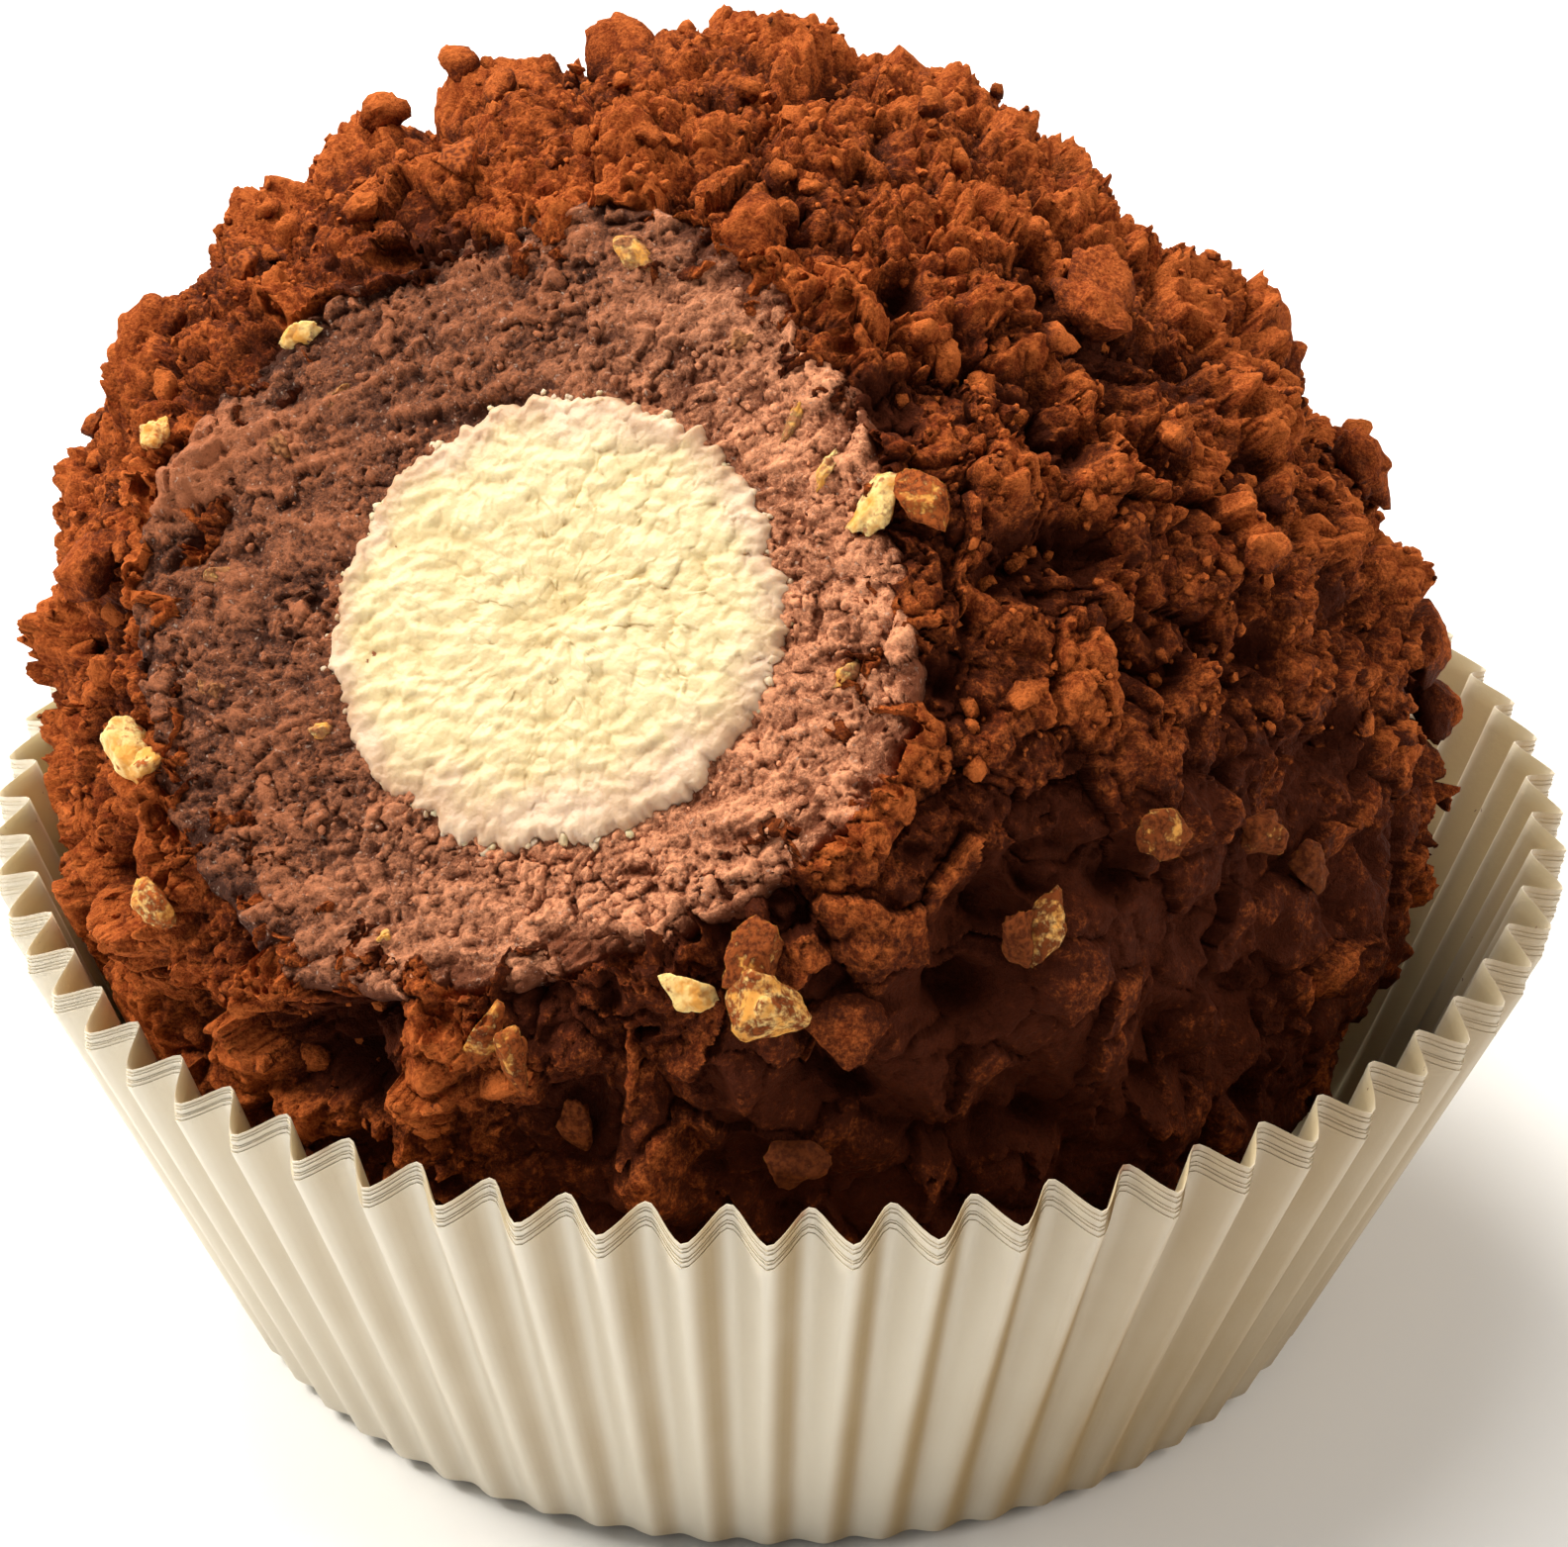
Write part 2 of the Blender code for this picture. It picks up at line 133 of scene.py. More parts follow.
# Hollows and knobs of the coat, too small for the solid: longitude, latitude, rise, half width in degrees.
SPOTS = (
    (-3.5, 11.0, -2.6, 4.0),
    (0.5, 18.0, -2.5, 3.0),
    (18.0, 42.5, 0.8, 2.5),
    (104.0, 68.0, 0.9, 2.0),
    (138.0, 58.0, 0.8, 2.0),
    (145.0, 56.0, -0.8, 1.8),
    (-172.0, 2.0, -1.2, 2.2),
    (9.0, 32.0, -2.3, 3.2),
    (25.0, 50.0, -1.9, 2.5),
    (51.7, 63.8, 1.0, 2.5),
    (68.9, 67.2, 1.8, 2.2),
    (110.6, 67.2, -2.2, 2.5),
    (135.0, 61.5, 1.0, 2.2),
    (150.9, 53.2, -2.5, 2.2),
    (158.4, 46.9, 2.4, 2.0),
    (164.6, 40.4, -1.3, 2.2),
    (176.5, 23.3, 1.3, 2.2),
    (-177.4, 12.9, 1.9, 2.5),
    (-169.5, -0.8, -1.4, 2.5),
    (-67.0, 16.2, -2.8, 2.2),
    (-28.8, 58.5, -1.5, 2.0),
    (-6.5, 57.5, -1.6, 2.2),
    (-26.5, 54.0, -1.6, 2.0),
    (-51.5, 56.5, -1.3, 1.8),
    (-44.5, 53.0, -1.7, 2.0),
    (-50.3, 48.9, -1.3, 1.7),
    (-35.3, 44.4, -1.4, 2.0),
    (-50.5, 41.4, -1.7, 2.4),
    (-57.0, 41.8, -1.2, 1.8),
    (-9.3, 45.2, -1.3, 1.8),
    (-19.0, 48.8, -1.3, 1.8),
    (13.1, 36.5, -1.0, 1.6),
    (-82.7, 72.0, -1.0, 2.0),
    (-132.0, 7.5, -1.5, 2.6),
    (-127.0, 5.0, -0.8, 2.2),
    (-120.2, 1.6, -2.6, 3.4),
    (-115.0, 6.0, -1.6, 2.2),
    (-110.5, 3.5, 1.2, 2.6),
    (-128.5, 0.0, 1.2, 1.8),
    (-131.0, 4.8, 0.9, 1.4),
    (-141.7, 7.3, -1.3, 1.6),
    (-71.8, 8.0, -1.0, 2.4),
    (-150.0, 17.5, -1.3, 2.2),
    (174.0, 28.5, -0.9, 2.0),
    (-161.5, 21.0, -1.2, 2.6),
    (-156.0, 24.0, -1.0, 1.8),
    (-178.0, 16.4, -0.2, 1.6),
    (-168.9, 48.3, -0.8, 1.2),
    (-34.5, 59.7, 0.7, 1.6),
    (-40.7, 55.6, 0.9, 1.6),
    (-39.5, 51.5, 1.1, 1.8),
    (1.5, 45.8, 0.9, 1.8),
    (5.9, 53.7, 0.8, 1.8),
    (-31.1, 47.0, 0.9, 1.6),
    (-13.0, 38.0, 0.8, 1.8),
    (-34.6, 38.5, 0.8, 1.8),
    (-58.0, 31.0, 0.7, 2.2),
)

# Smooth slabs of the coat, places with soft lumps, pits on the left, wet slabs of the lower front that are
# also painted darker as painted shade, and lit places where the painted shade towards the bottom is left off:
# longitude, latitude, half width in degrees, strength.
SLAB_PATCHES = ((-60, 5, 19, 1.0), (-30, -8, 16, 1.0), (-88, -14, 18, 1.0))
SOFT_PATCHES = ((-175, 57, 19, 1.0), (165, 66, 16, 1.0), (176, 30, 12, 0.6))
PITTED_PATCHES = ((-170, 28, 20, 1.0),)
WET_SHADED_PATCHES = ((-60, 0, 22, 1.0), (-25, -5, 20, 1.0), (-88, -12, 18, 0.7))
UNSHADED_PATCHES = ((-150, 5, 26, 1.0), (0, 15, 18, 1.0))

# Nut in the cut face: across, up, length, width, the length's turn from across in degrees, and how much
# chocolate covers it.
FACE_NUTS = (
    (0.4, 14.7, 2.6, 1.2, -35, 0.5),
    (-12.6, 8.7, 1.7, 1.0, 20, 0.3),
    (-1.3, -13.8, 0.7, 0.4, 60, 0.3),
    (-6.4, -6.6, 1.1, 0.7, 30, 0.5),
    (-12.8, -1.5, 1.4, 0.9, 10, 0.62),
    (-10.1, 6.5, 1.5, 0.9, 50, 0.7),
    (-11.8, 4.1, 1.4, 1.1, 20, 0.72),
    (-11.5, -6.0, 1.6, 1.0, 0, 0.72),
    (8.9, 9.2, 1.9, 0.7, 80, 0.55),
    (10.8, 7.6, 1.7, 0.7, 75, 0.45),
    (14.0, 0.2, 1.4, 0.8, 60, 0.5),
    (13.2, 6.9, 2.9, 1.6, 80, 0.28),
    (5.9, 12.0, 1.3, 0.8, 40, 0.72),
)

# Ridges and dents of the filling: rise, across, up, turn from across in degrees, half length, half width.
FACE_MARKS = (
    (1.1, -15.3, 2.4, 66, 2.3, 1.1),
    (-1.1, -14.0, -0.2, 66, 1.3, 0.5),
    (-0.45, -4.4, 6.9, 22, 3.4, 0.35),
    (-0.5, 7.3, -12.3, 5, 1.6, 0.5),
)

# The chocolate's edge at the cut, about the middle of the face: angle in degrees, reach.
BORDER = (
    (-154, 16.1),
    (-131, 16.3),
    (-105, 16.9),
    (-78, 15.2),
    (-56, 14.6),
    (-31, 15.8),
    (-10, 17.0),
    (7, 16.4),
    (19, 15.2),
    (38, 15.4),
    (57, 15.6),
    (77, 16.7),
    (102, 16.3),
    (119, 15.6),
    (131, 15.3),
    (157, 16.3),
    (180, 16.8),
)

# The cream's edge at the cut, about the middle of the core: angle in degrees, reach.
CORE_EDGE = (
    (-179, 9.5),
    (-168, 9.35),
    (-157, 9.7),
    (-151, 9.2),
    (-138, 9.45),
    (-125, 9.5),
    (-116, 9.1),
    (-107, 8.85),
    (-102, 9.3),
    (-98, 9.5),
    (-95, 8.85),
    (-92, 9.3),
    (-89, 8.8),
    (-86, 9.5),
    (-83, 9.0),
    (-79, 8.45),
    (-70, 8.8),
    (-52, 8.9),
    (-34, 8.8),
    (-15, 9.1),
    (5, 9.3),
    (24, 9.5),
    (31, 8.75),
    (38, 9.4),
    (46, 9.15),
    (52, 9.5),
    (58, 9.25),
    (62, 9.55),
    (65, 9.1),
    (69, 9.5),
    (72, 9.1),
    (76, 9.4),
    (82, 9.1),
    (93, 9.4),
    (104, 9.4),
    (120, 9.5),
    (135, 9.35),
    (152, 9.7),
    (166, 9.4),
)

# The photograph's view
ELEVATION = 30.83
ROLL = -0.63
EYE_DISTANCE = 204.0
FOCAL_PX = 4679.0
IMAGE = (1584, 1563)
RIM_CENTRE_PX = (786.7, 817.5)
SENSOR = 36.0
NEAR_CLIP = 0.01

# Square lights: name, azimuth and elevation in degrees, size in metres, power, colour.
LIGHTS = (
    ("key", 180, 47, 0.20, 3.85, (1.0, 0.93, 0.82)),
    ("top", 145, 80, 0.28, 1.7, (1.0, 0.95, 0.87)),
    ("side", -6, 36, 0.35, 1.6, (1.0, 0.91, 0.78)),
    ("back", 112, 46, 0.25, 3.0, (1.0, 0.94, 0.84)),
)
LIGHT_DISTANCE = 0.6
LIGHT_TARGET = (0.0, 0.0, 0.025)
SKY_COLOUR = (1.0, 0.98, 0.95, 1.0)
SKY_STRENGTH = 0.26
FLOOR_RADIUS = 3.0


def unit(vectors):
    return vectors / np.linalg.norm(vectors, axis=-1, keepdims=True)


def direction(longitude, latitude):
    """The unit vector at a longitude and a latitude in degrees."""
    flat = math.cos(latitude * DEG)
    parts = (flat * math.cos(longitude * DEG), flat * math.sin(longitude * DEG), math.sin(latitude * DEG))
    return np.array(parts)


OUT = direction(CUT_LONGITUDE, CUT_LATITUDE)
ACROSS = unit(np.cross([0.0, 0.0, 1.0], OUT))
UP = np.cross(OUT, ACROSS)
FACE_CENTRE = TRUFFLE_CENTRE + OUT * CUT_DISTANCE


def round_turns(count):
    """Angles spaced evenly round a circle."""
    return np.arange(count) / count * math.tau


def on_circle(angles):
    """Points of the unit circle at some angles."""
    return np.stack([np.cos(angles), np.sin(angles), 0 * angles], axis=-1)


def padded(values, count):
    """The values with count noughts after them."""
    return np.concatenate([values, np.zeros(count)])


def hashed(cell, seed):
    """A repeatable whole number below 2**32 for each cell of the integer lattice."""
    x, y, z = (cell[..., i].astype(np.int64).astype(np.uint32) for i in range(3))
    mixed = x * np.uint32(0x8DA6B343) + y * np.uint32(0xD8163841) + z * np.uint32(0xCB1AB31F)
    mixed = mixed + np.uint32(seed * 0x9E3779B1 % 2**32)
    for shift, factor in ((15, 0x2C1B3C6D), (12, 0x297A2D39)):
        mixed = (mixed ^ (mixed >> np.uint32(shift))) * np.uint32(factor)
    return mixed ^ (mixed >> np.uint32(15))


def lattice_vector(cell, seed):
    """Three repeatable numbers from -1 to 1 for each cell: ten bits of its hash apiece."""
    bits = hashed(cell, seed)
    parts = [(bits >> np.uint32(10 * i)) & np.uint32(1023) for i in range(3)]
    return np.stack(parts, axis=-1) / 511.5 - 1


def smooth_noise(points, seed):
    """Gradient noise: at each lattice corner a slope, blended by a smooth curve. About -0.8 to 0.8."""
    cell = np.floor(points)
    part = points - cell
    fade = part**3 * (part * (part * 6 - 15) + 10)
    total = np.zeros(len(points))
    for corner in np.ndindex(2, 2, 2):
        step = np.array(corner, float)
        weight = np.prod(np.where(step == 1, fade, 1 - fade), axis=-1)
        total += weight * np.sum(lattice_vector(cell + step, seed) * (part - step), axis=-1)
    return total


def vector_noise(points, seed):
    """Three gradient noises as a vector."""
    return np.stack([smooth_noise(points, seed + i) for i in range(3)], axis=-1)


def lump_noise(points, seed):
    """Distance to the nearest of one scattered spot a cell; 1 less its square is a field of round lumps."""
    return crumb_cells(points, seed)[0]


def crumb_cells(points, seed):
    """The nearest of one scattered spot a cell, seen from each point.

    Gives the distance to it, how much farther the next spot is, the offset from the spot to the point, and
    the spot's own three draws from -1 to 1.
    """
    cell = np.floor(points)
    nearest = np.full(len(points), 9.0)
    second = np.full(len(points), 9.0)
    away = np.zeros_like(points)
    draws = np.zeros_like(points)
    for corner in np.ndindex(3, 3, 3):
        place = cell + (np.array(corner) - 1)
        draw = lattice_vector(place, seed)
        offset = points - (place + 0.5 + 0.45 * draw)
        distance = np.sqrt(np.einsum("ij,ij->i", offset, offset))
        closer = distance < nearest
        second = np.where(closer, nearest, np.minimum(second, distance))
        nearest = np.where(closer, distance, nearest)
        away[closer] = offset[closer]
        draws[closer] = draw[closer]
    return nearest, second - nearest, away, draws


def near(ways, longitude, latitude, width):
    """A soft spot, 1 at its middle, that falls off over a width in degrees."""
    return np.exp((ways @ direction(longitude, latitude) - 1) / (width * DEG) ** 2)


def patches(ways, rows):
    """The sum of soft spots, each given by its longitude, latitude, half width and strength."""
    return sum(strength * near(ways, *row) for *row, strength in rows)


def crags(points):
    """Relief of the coat, about 0 to 1: warped lumps of two sizes, and creases where a noise crosses zero."""
    warped = points + 2.6 * vector_noise(points / 6.5, 11)
    coarse = 1 - np.minimum(lump_noise(warped / 7.5, 21), 1) ** 2
    medium = 1 - np.minimum(lump_noise(warped / 4.2, 22), 1) ** 2
    creases = np.abs(smooth_noise(warped / 5.5, 23)) / 0.45
    return np.clip(0.42 * coarse + 0.34 * medium + 0.46 * creases - 0.16, 0, 1.2)


def wall_limit(height):
    """Radius that the pleats leave free in the inner case at each height; it opens quickly above the rim."""
    own = height - INNER_CASE_RISE
    slope = (CASE_RIM_RADIUS - CASE_BASE_RADIUS) / CASE_HEIGHT
    outward = CASE_BASE_RADIUS - INNER_CASE_INSET + slope * own
    depth = PLEAT_DEPTH_FOOT + (PLEAT_DEPTH_RIM - PLEAT_DEPTH_FOOT) * np.clip(own / CASE_HEIGHT, 0, 1)
    above = np.maximum(own - CASE_HEIGHT - PLEAT_RISE - RIM_MARGIN, 0)
    return outward - depth - 1.5 * CASE_WALL - CLEARANCE + 1.5 * above


def pressed_in(points):
    """Draws points softly inside the case's wall and above the truffle's flat foot."""
    reach = np.hypot(points[:, 0], points[:, 1])
    softness = 0.35
    room = (wall_limit(points[:, 2]) - reach) / softness
    kept = reach + softness * (room - np.logaddexp(0, room))
    points[:, :2] *= (kept / np.maximum(reach, 1.0))[:, None]
    points[:, 2] = np.maximum(points[:, 2], FOOT)
    return points


def bare_radius(ways):
    """The ball with its swellings and crags, as the solid has it."""
    radius = np.full(len(ways), TRUFFLE_RADIUS)
    for longitude, latitude, height, width in SWELLINGS:
        radius += height * near(ways, longitude, latitude, width)
    relief = crags(ways * TRUFFLE_RADIUS)
    return radius + CRAG_HEIGHT * relief, relief


def domes(points, size, seed):
    """Round lumps about size apart, 0 between them and 1 on top."""
    return np.sqrt(np.clip(1 - (lump_noise(points / size, seed) / 0.88) ** 2, 0, 1))


def clods(points, size, seed, lift, tilt, crease):
    """Broken lumps about size apart, each with its own height and tilt, and a crease round each."""
    _, gap, away, draws = crumb_cells(points / size, seed)
    slope = np.sum(away * draws[:, [1, 2, 0]], axis=-1)
    return lift * draws[:, 0] + tilt * slope - crease * np.exp(-gap / 0.11)


def crests(points, size, seed):
    """Sharp winding crests about size apart: 1 where a noise crosses zero, and falling off beside it."""
    return 1 - np.abs(smooth_noise(points / size, seed)) / 0.35


def pits(points, size, seed, low, high):
    """1 where a noise is above high, 0 where it is below low."""
    return np.clip((smooth_noise(points / size, seed) - low) / (high - low), 0, 1)


def turned(ways):
    """How far ways are turned about the cut's axis, from across towards up."""
    return np.arctan2(ways @ UP, ways @ ACROSS)


def border_reach(turns):
    """The listed edge of the chocolate at some turns."""
    table = np.array(BORDER)
    return np.interp(turns, table[:, 0] * DEG, table[:, 1], period=math.tau)


def bare_outline(turns):
    """How far the bare coat reaches from the middle of the face at each turn: the first step outside it."""
    reach = np.arange(11.5, 20.0, 0.1)
    side = ACROSS * np.cos(turns)[:, None] + UP * np.sin(turns)[:, None]
    rays = OUT * CUT_DISTANCE + side[:, None, :] * reach[None, :, None]
    distance = np.linalg.norm(rays, axis=-1)
    radius, _ = bare_radius(unit(rays).reshape(-1, 3))
    outside = radius.reshape(distance.shape) < distance
    return reach[np.argmax(outside, axis=1)]


# How far the coat's edge moves out at each turn about the cut's axis, to meet the listed edge
SHIFT_TURNS = np.arange(-180, 180, 2) * DEG
SHIFTS = np.hypot(border_reach(SHIFT_TURNS), CUT_DISTANCE)
SHIFTS = SHIFTS - np.hypot(bare_outline(SHIFT_TURNS), CUT_DISTANCE)


def slabbed(ways):
    """Where the coat lies in smoother slabs, on the lower front: from 0 to 1."""
    return np.clip(patches(ways, SLAB_PATCHES), 0, 1)


def coat_surface(ways):
    """The coat's points, and how far each stands out and how near it is to a crest, both from 0 to 1.

    The radius is the solid's, plus chunks, clods and crumbs that each have their own height and tilt, with
    sharp crests and grit on them, all on warped places. By the cut it is drawn to the listed edge. Holes are
    pressed where a broad noise is high, and pits where the powder lies thick and on the left. A sideways
    drift makes overhangs. Beyond the cut the coat folds in under the chocolate.
    """
    radius, relief = bare_radius(ways)
    points = ways * radius[:, None]
    slabs = slabbed(ways)
    soft = np.clip(patches(ways, SOFT_PATCHES), 0, 1)
    warped = points + 1.0 * vector_noise(points / 2.3, 41) + 0.35 * vector_noise(points / 0.8, 44)
    rough = points + 0.20 * vector_noise(points / 0.5, 47)
    fine = 0.5 * crests(rough, 0.85, 57) + 0.5 * crests(rough, 0.42, 58)
    large = 1 - 0.40 * slabs - 0.55 * soft
    small = 1 - 0.72 * slabs - 0.30 * soft
    height = large * (clods(warped, 3.3, 51, 0.68, 1.10, 0.48) + 0.22 * crests(warped, 2.0, 56))
    height += small * (clods(warped, 1.3, 52, 0.22, 0.42, 0.24) + 0.30 * domes(warped, 1.3, 52))
    height += small * (clods(rough, 0.62, 53, 0.10, 0.24, 0.08) + 0.13 * domes(rough, 0.62, 53))
    height += 0.17 * small * fine + 0.09 * domes(points, 0.31, 54)
    height -= 1.6 * pits(points, 3.0, 55, 0.16, 0.42) * (1 - 0.7 * soft)
    drawn = points + OUT * (points @ direction(-114, -30) / 1.8)[:, None]
    height -= soft * (0.9 * pits(drawn, 1.5, 59, 0.22, 0.36) + 0.4 * pits(rough, 0.6, 60, 0.2, 0.4))
    pitted = 0.8 * pits(warped, 1.6, 64, 0.18, 0.34) + 0.5 * pits(rough, 0.8, 65, 0.2, 0.36)
    height -= patches(ways, PITTED_PATCHES) * pitted
    for longitude, latitude, rise, width in SPOTS:
        height += rise * near(ways, longitude, latitude, width)
    height -= 1.0
    tilt = np.arccos(np.clip(ways @ OUT, -1, 1))
    by_cut = np.exp(-(((tilt / DEG - 33.0) / 4.5) ** 2))
    height += by_cut * (np.interp(turned(ways), SHIFT_TURNS, SHIFTS, period=math.tau) + 0.85)
    drift = 0.42 * vector_noise(points / 1.9, 61) * large[:, None]
    drift -= ways * np.sum(drift * ways, axis=-1)[:, None]
    points = points + ways * height[:, None] + drift
    # standing sets the cocoa's share and its painted shade in the finish; the soft spot on the lower left
    # lifts it there as painted light.
    standing = np.clip(0.56 + 0.25 * relief + 0.32 * height + 0.15 * near(ways, -142, 2, 14), 0, 1)
    edge = 0.20 + 0.85 * smooth_noise(points / 1.5, 62) + 0.50 * smooth_noise(points / 3.2, 63)
    beyond = np.maximum(points @ OUT - CUT_DISTANCE - edge, 0)
    fold = beyond + 1.5 * (1 - np.exp(-beyond / 0.45))
    points = points - OUT * fold[:, None]
    return pressed_in(TRUFFLE_CENTRE + points), standing, np.clip(fine, 0, 1)


def wrapped_grid(rows, columns, closed_rows):
    """Quads of a grid whose columns run round, and whose rows run round too if closed_rows is true."""
    row = np.arange(rows if closed_rows else rows - 1)[:, None]
    column = np.arange(columns)[None, :]
    beside = (column + 1) % columns
    this_row = row * columns
    next_row = (row + 1) % rows * columns
    corners = (this_row + column, this_row + beside, next_row + beside, next_row + column)
    shape = (len(row), columns)
    return np.stack([np.broadcast_to(corner, shape) for corner in corners], axis=-1).reshape(-1, 4)


def pole_fans(rows, columns):
    """Triangles that close a grid's first and last rows, to two poles that come after its points."""
    column = np.arange(columns)
    beside = (column + 1) % columns
    first = np.stack([np.full(columns, rows * columns), beside, column], axis=-1)
    last_row = (rows - 1) * columns
    last = np.stack([np.full(columns, rows * columns + 1), last_row + column, last_row + beside], axis=-1)
    return np.concatenate([first, last])


def new_piece(name, points, quads, triangles, finish, node, attributes=None, sharp=75):
    """A mesh from arrays in millimetres that rides on the one body and stands for a solid."""
    mesh = bpy.data.meshes.new(name)
    triangles = np.zeros((0, 3), int) if triangles is None else triangles
    mesh.vertices.add(len(points))
    mesh.vertices.foreach_set("co", (np.asarray(points) * MM).astype(np.float32).ravel())
    corners = np.concatenate([quads.ravel(), triangles.ravel()])
    starts = [np.arange(len(quads)) * 4, 4 * len(quads) + np.arange(len(triangles)) * 3]
    starts = np.concatenate(starts)
    mesh.loops.add(len(corners))
    mesh.loops.foreach_set("vertex_index", corners.astype(np.int32))
    mesh.polygons.add(len(starts))
    mesh.polygons.foreach_set("loop_start", starts.astype(np.int32))
    for label, values in (attributes or {}).items():
        attribute = mesh.attributes.new(label, "FLOAT", "POINT")
        attribute.data.foreach_set("value", values.astype(np.float32))
    mesh.update(calc_edges=True)
    mesh.validate()
    mesh.shade_smooth()
    mesh.set_sharp_from_angle(angle=sharp * DEG)
    mesh.materials.append(finish.material)
    piece = bpy.data.objects.new(name, mesh)
    bpy.context.scene.collection.objects.link(piece)
    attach(piece, "root")
    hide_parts(node)
    return piece


class Value:
    """A socket of a finish. On numbers, the operators add Math nodes."""

    def __init__(self, finish, socket):
        self.finish = finish
        self.socket = socket

    def math(self, operation, first, second):
        return self.finish.node("ShaderNodeMath", {"operation": operation}, {0: first, 1: second})

    def __add__(self, other):
        return self.math("ADD", self, other)

    def __radd__(self, other):
        return self.math("ADD", other, self)

    def __sub__(self, other):
        return self.math("SUBTRACT", self, other)

    def __rsub__(self, other):
        return self.math("SUBTRACT", other, self)

    def __mul__(self, other):
        return self.math("MULTIPLY", self, other)

    def __rmul__(self, other):
        return self.math("MULTIPLY", other, self)


class Finish:
    """A material while it is made: a Principled shader and the nodes that feed it."""

    def __init__(self, name):
        self.material = bpy.data.materials.new(name)
        self.material.use_nodes = True
        self.tree = self.material.node_tree
        self.shader = self.tree.nodes["Principled BSDF"]
        self.place = self.node("ShaderNodeTexCoord", output="Object")

    def join(self, socket, value):
        if isinstance(value, Value):
            self.tree.links.new(value.socket, socket)
        else:
            socket.default_value = value

    def node(self, kind, settings=None, sockets=None, output=0):
        """Adds a node: its settings first, then the value or link of each socket."""
        node = self.tree.nodes.new(kind)
        for name, value in (settings or {}).items():
            setattr(node, name, value)
        for name, value in (sockets or {}).items():
            self.join(node.inputs[name], value)
        return Value(self, node.outputs[output])

    def noise(self, size, detail=2.0, roughness=0.55):
        """Noise from 0 to 1 whose features are about size millimetres."""
        sockets = {"Vector": self.place, "Scale": 1 / (size * MM), "Detail": detail, "Roughness": roughness}
        return self.node("ShaderNodeTexNoise", None, sockets)

    def attribute(self, name):
        return self.node("ShaderNodeAttribute", {"attribute_name": name}, None, "Fac")

    def ramp(self, value, low, high):
        """0 below low, 1 above high, and a smooth step between them."""
        sockets = {"Value": value, "From Min": low, "From Max": high}
        return self.node("ShaderNodeMapRange", {"interpolation_type": "SMOOTHSTEP"}, sockets)

    def mix(self, share, first, second):
        """A colour between two colours; first and second are colours or links."""
        colours = [c if isinstance(c, Value) else (*c, 1.0) for c in (first, second)]
        sockets = {0: share, 6: colours[0], 7: colours[1]}
        return self.node("ShaderNodeMix", {"data_type": "RGBA"}, sockets, 2)

    def bump(self, height, depth):
        """Feeds the Normal with a height from 0 to 1 whose full range is depth millimetres."""
        sockets = {"Strength": 1.0, "Distance": depth * MM, "Height": height}
        self.set("Normal", self.node("ShaderNodeBump", None, sockets))

    def set(self, name, value):
        self.join(self.shader.inputs[name], value)


def cocoa_finish():
    """Cocoa powder over chocolate, powdery: orange-brown on what stands out, near black in the holes, partly
    bare chocolate and partly painted shade.
    """
    finish = Finish("cocoa_coat")
    powder = finish.noise(0.14, 3.0, 0.75)
    fine = finish.noise(0.40, 3.0, 0.7)
    clot = finish.noise(1.2, 3.0, 0.6)
    blotch = finish.noise(4.5, 3.0, 0.55)
    standing = finish.attribute("standing")
    crest = finish.attribute("crest")
    shade_and_wet = finish.attribute("shade_and_wet")
    uneven = (powder - 0.5) * 0.5 + (fine - 0.5) * 0.8 + (clot - 0.5) * 0.7 + (blotch - 0.5) * 0.6
    # Cocoa shows on what stands out and less on the wet, low coat. Where it is missing, the near-black
    # chocolate is also painted shade in hollows and on the lower coat.
    dust_and_hollow_shade = finish.ramp(standing + uneven - shade_and_wet * 0.35, 0.12, 0.72)
    chocolate = finish.mix(fine, (0.030, 0.0065, 0.0028), (0.10, 0.020, 0.0065))
    # Lighter on crests and darker between the grains that the bump raises: painted highlight and painted
    # shade at a small scale, with random tone.
    grain = finish.ramp(crest * 0.4 + (powder - 0.5) * 1.1 + (fine - 0.5) * 0.7 + standing * 0.3, 0.10, 0.80)
    cocoa = finish.mix(grain, (0.20, 0.034, 0.008), (0.56, 0.145, 0.034))
    finish.set("Base Color", finish.mix(dust_and_hollow_shade, chocolate, cocoa))
    finish.set("Roughness", 0.62 + 0.34 * dust_and_hollow_shade)
    finish.set("Specular IOR Level", 0.05)
    finish.bump(powder * 0.5 + fine * 0.5, 0.36)
    return finish


def ganache_finish():
    """Whipped chocolate filling: mauve-brown, fine wet-looking grains, darker in grooves, low places and
    where it is torn, as painted shade, with pale glints painted as highlights.
    """
    finish = Finish("ganache")
    grain = finish.noise(0.13, 3.0, 0.75)
    fine = finish.noise(0.36, 3.0, 0.7)
    blotch = finish.noise(3.5, 2.0, 0.5)
    standing = finish.attribute("standing")
    warm = finish.attribute("warm")
    # The light share is low in grooves, low places and between the grains that the bump raises: painted
    # shade, with random tone.
    uneven = (grain - 0.5) * 1.2 + (fine - 0.5) * 0.9 + (blotch - 0.5) * 0.6
    light = finish.ramp(standing * 0.85 + uneven, 0.0, 0.9)
    dull = finish.mix(light, (0.064, 0.017, 0.0065), (0.43, 0.143, 0.059))
    rosy = finish.mix(light, (0.22, 0.062, 0.024), (0.92, 0.40, 0.21))
    colour = finish.mix(warm, dull, rosy)
    # Pale glints: painted highlights, with lower roughness at the same spots.
    glint = finish.ramp(finish.noise(0.2, 1.0, 0.5), 0.66, 0.76)
    finish.set("Base Color", finish.mix(glint * 0.45, colour, (0.60, 0.45, 0.36)))
    finish.set("Roughness", 0.55 - 0.25 * glint)
    finish.set("Specular IOR Level", 0.22)
    finish.bump(grain * 0.55 + fine * 0.45, 0.28)
    return finish


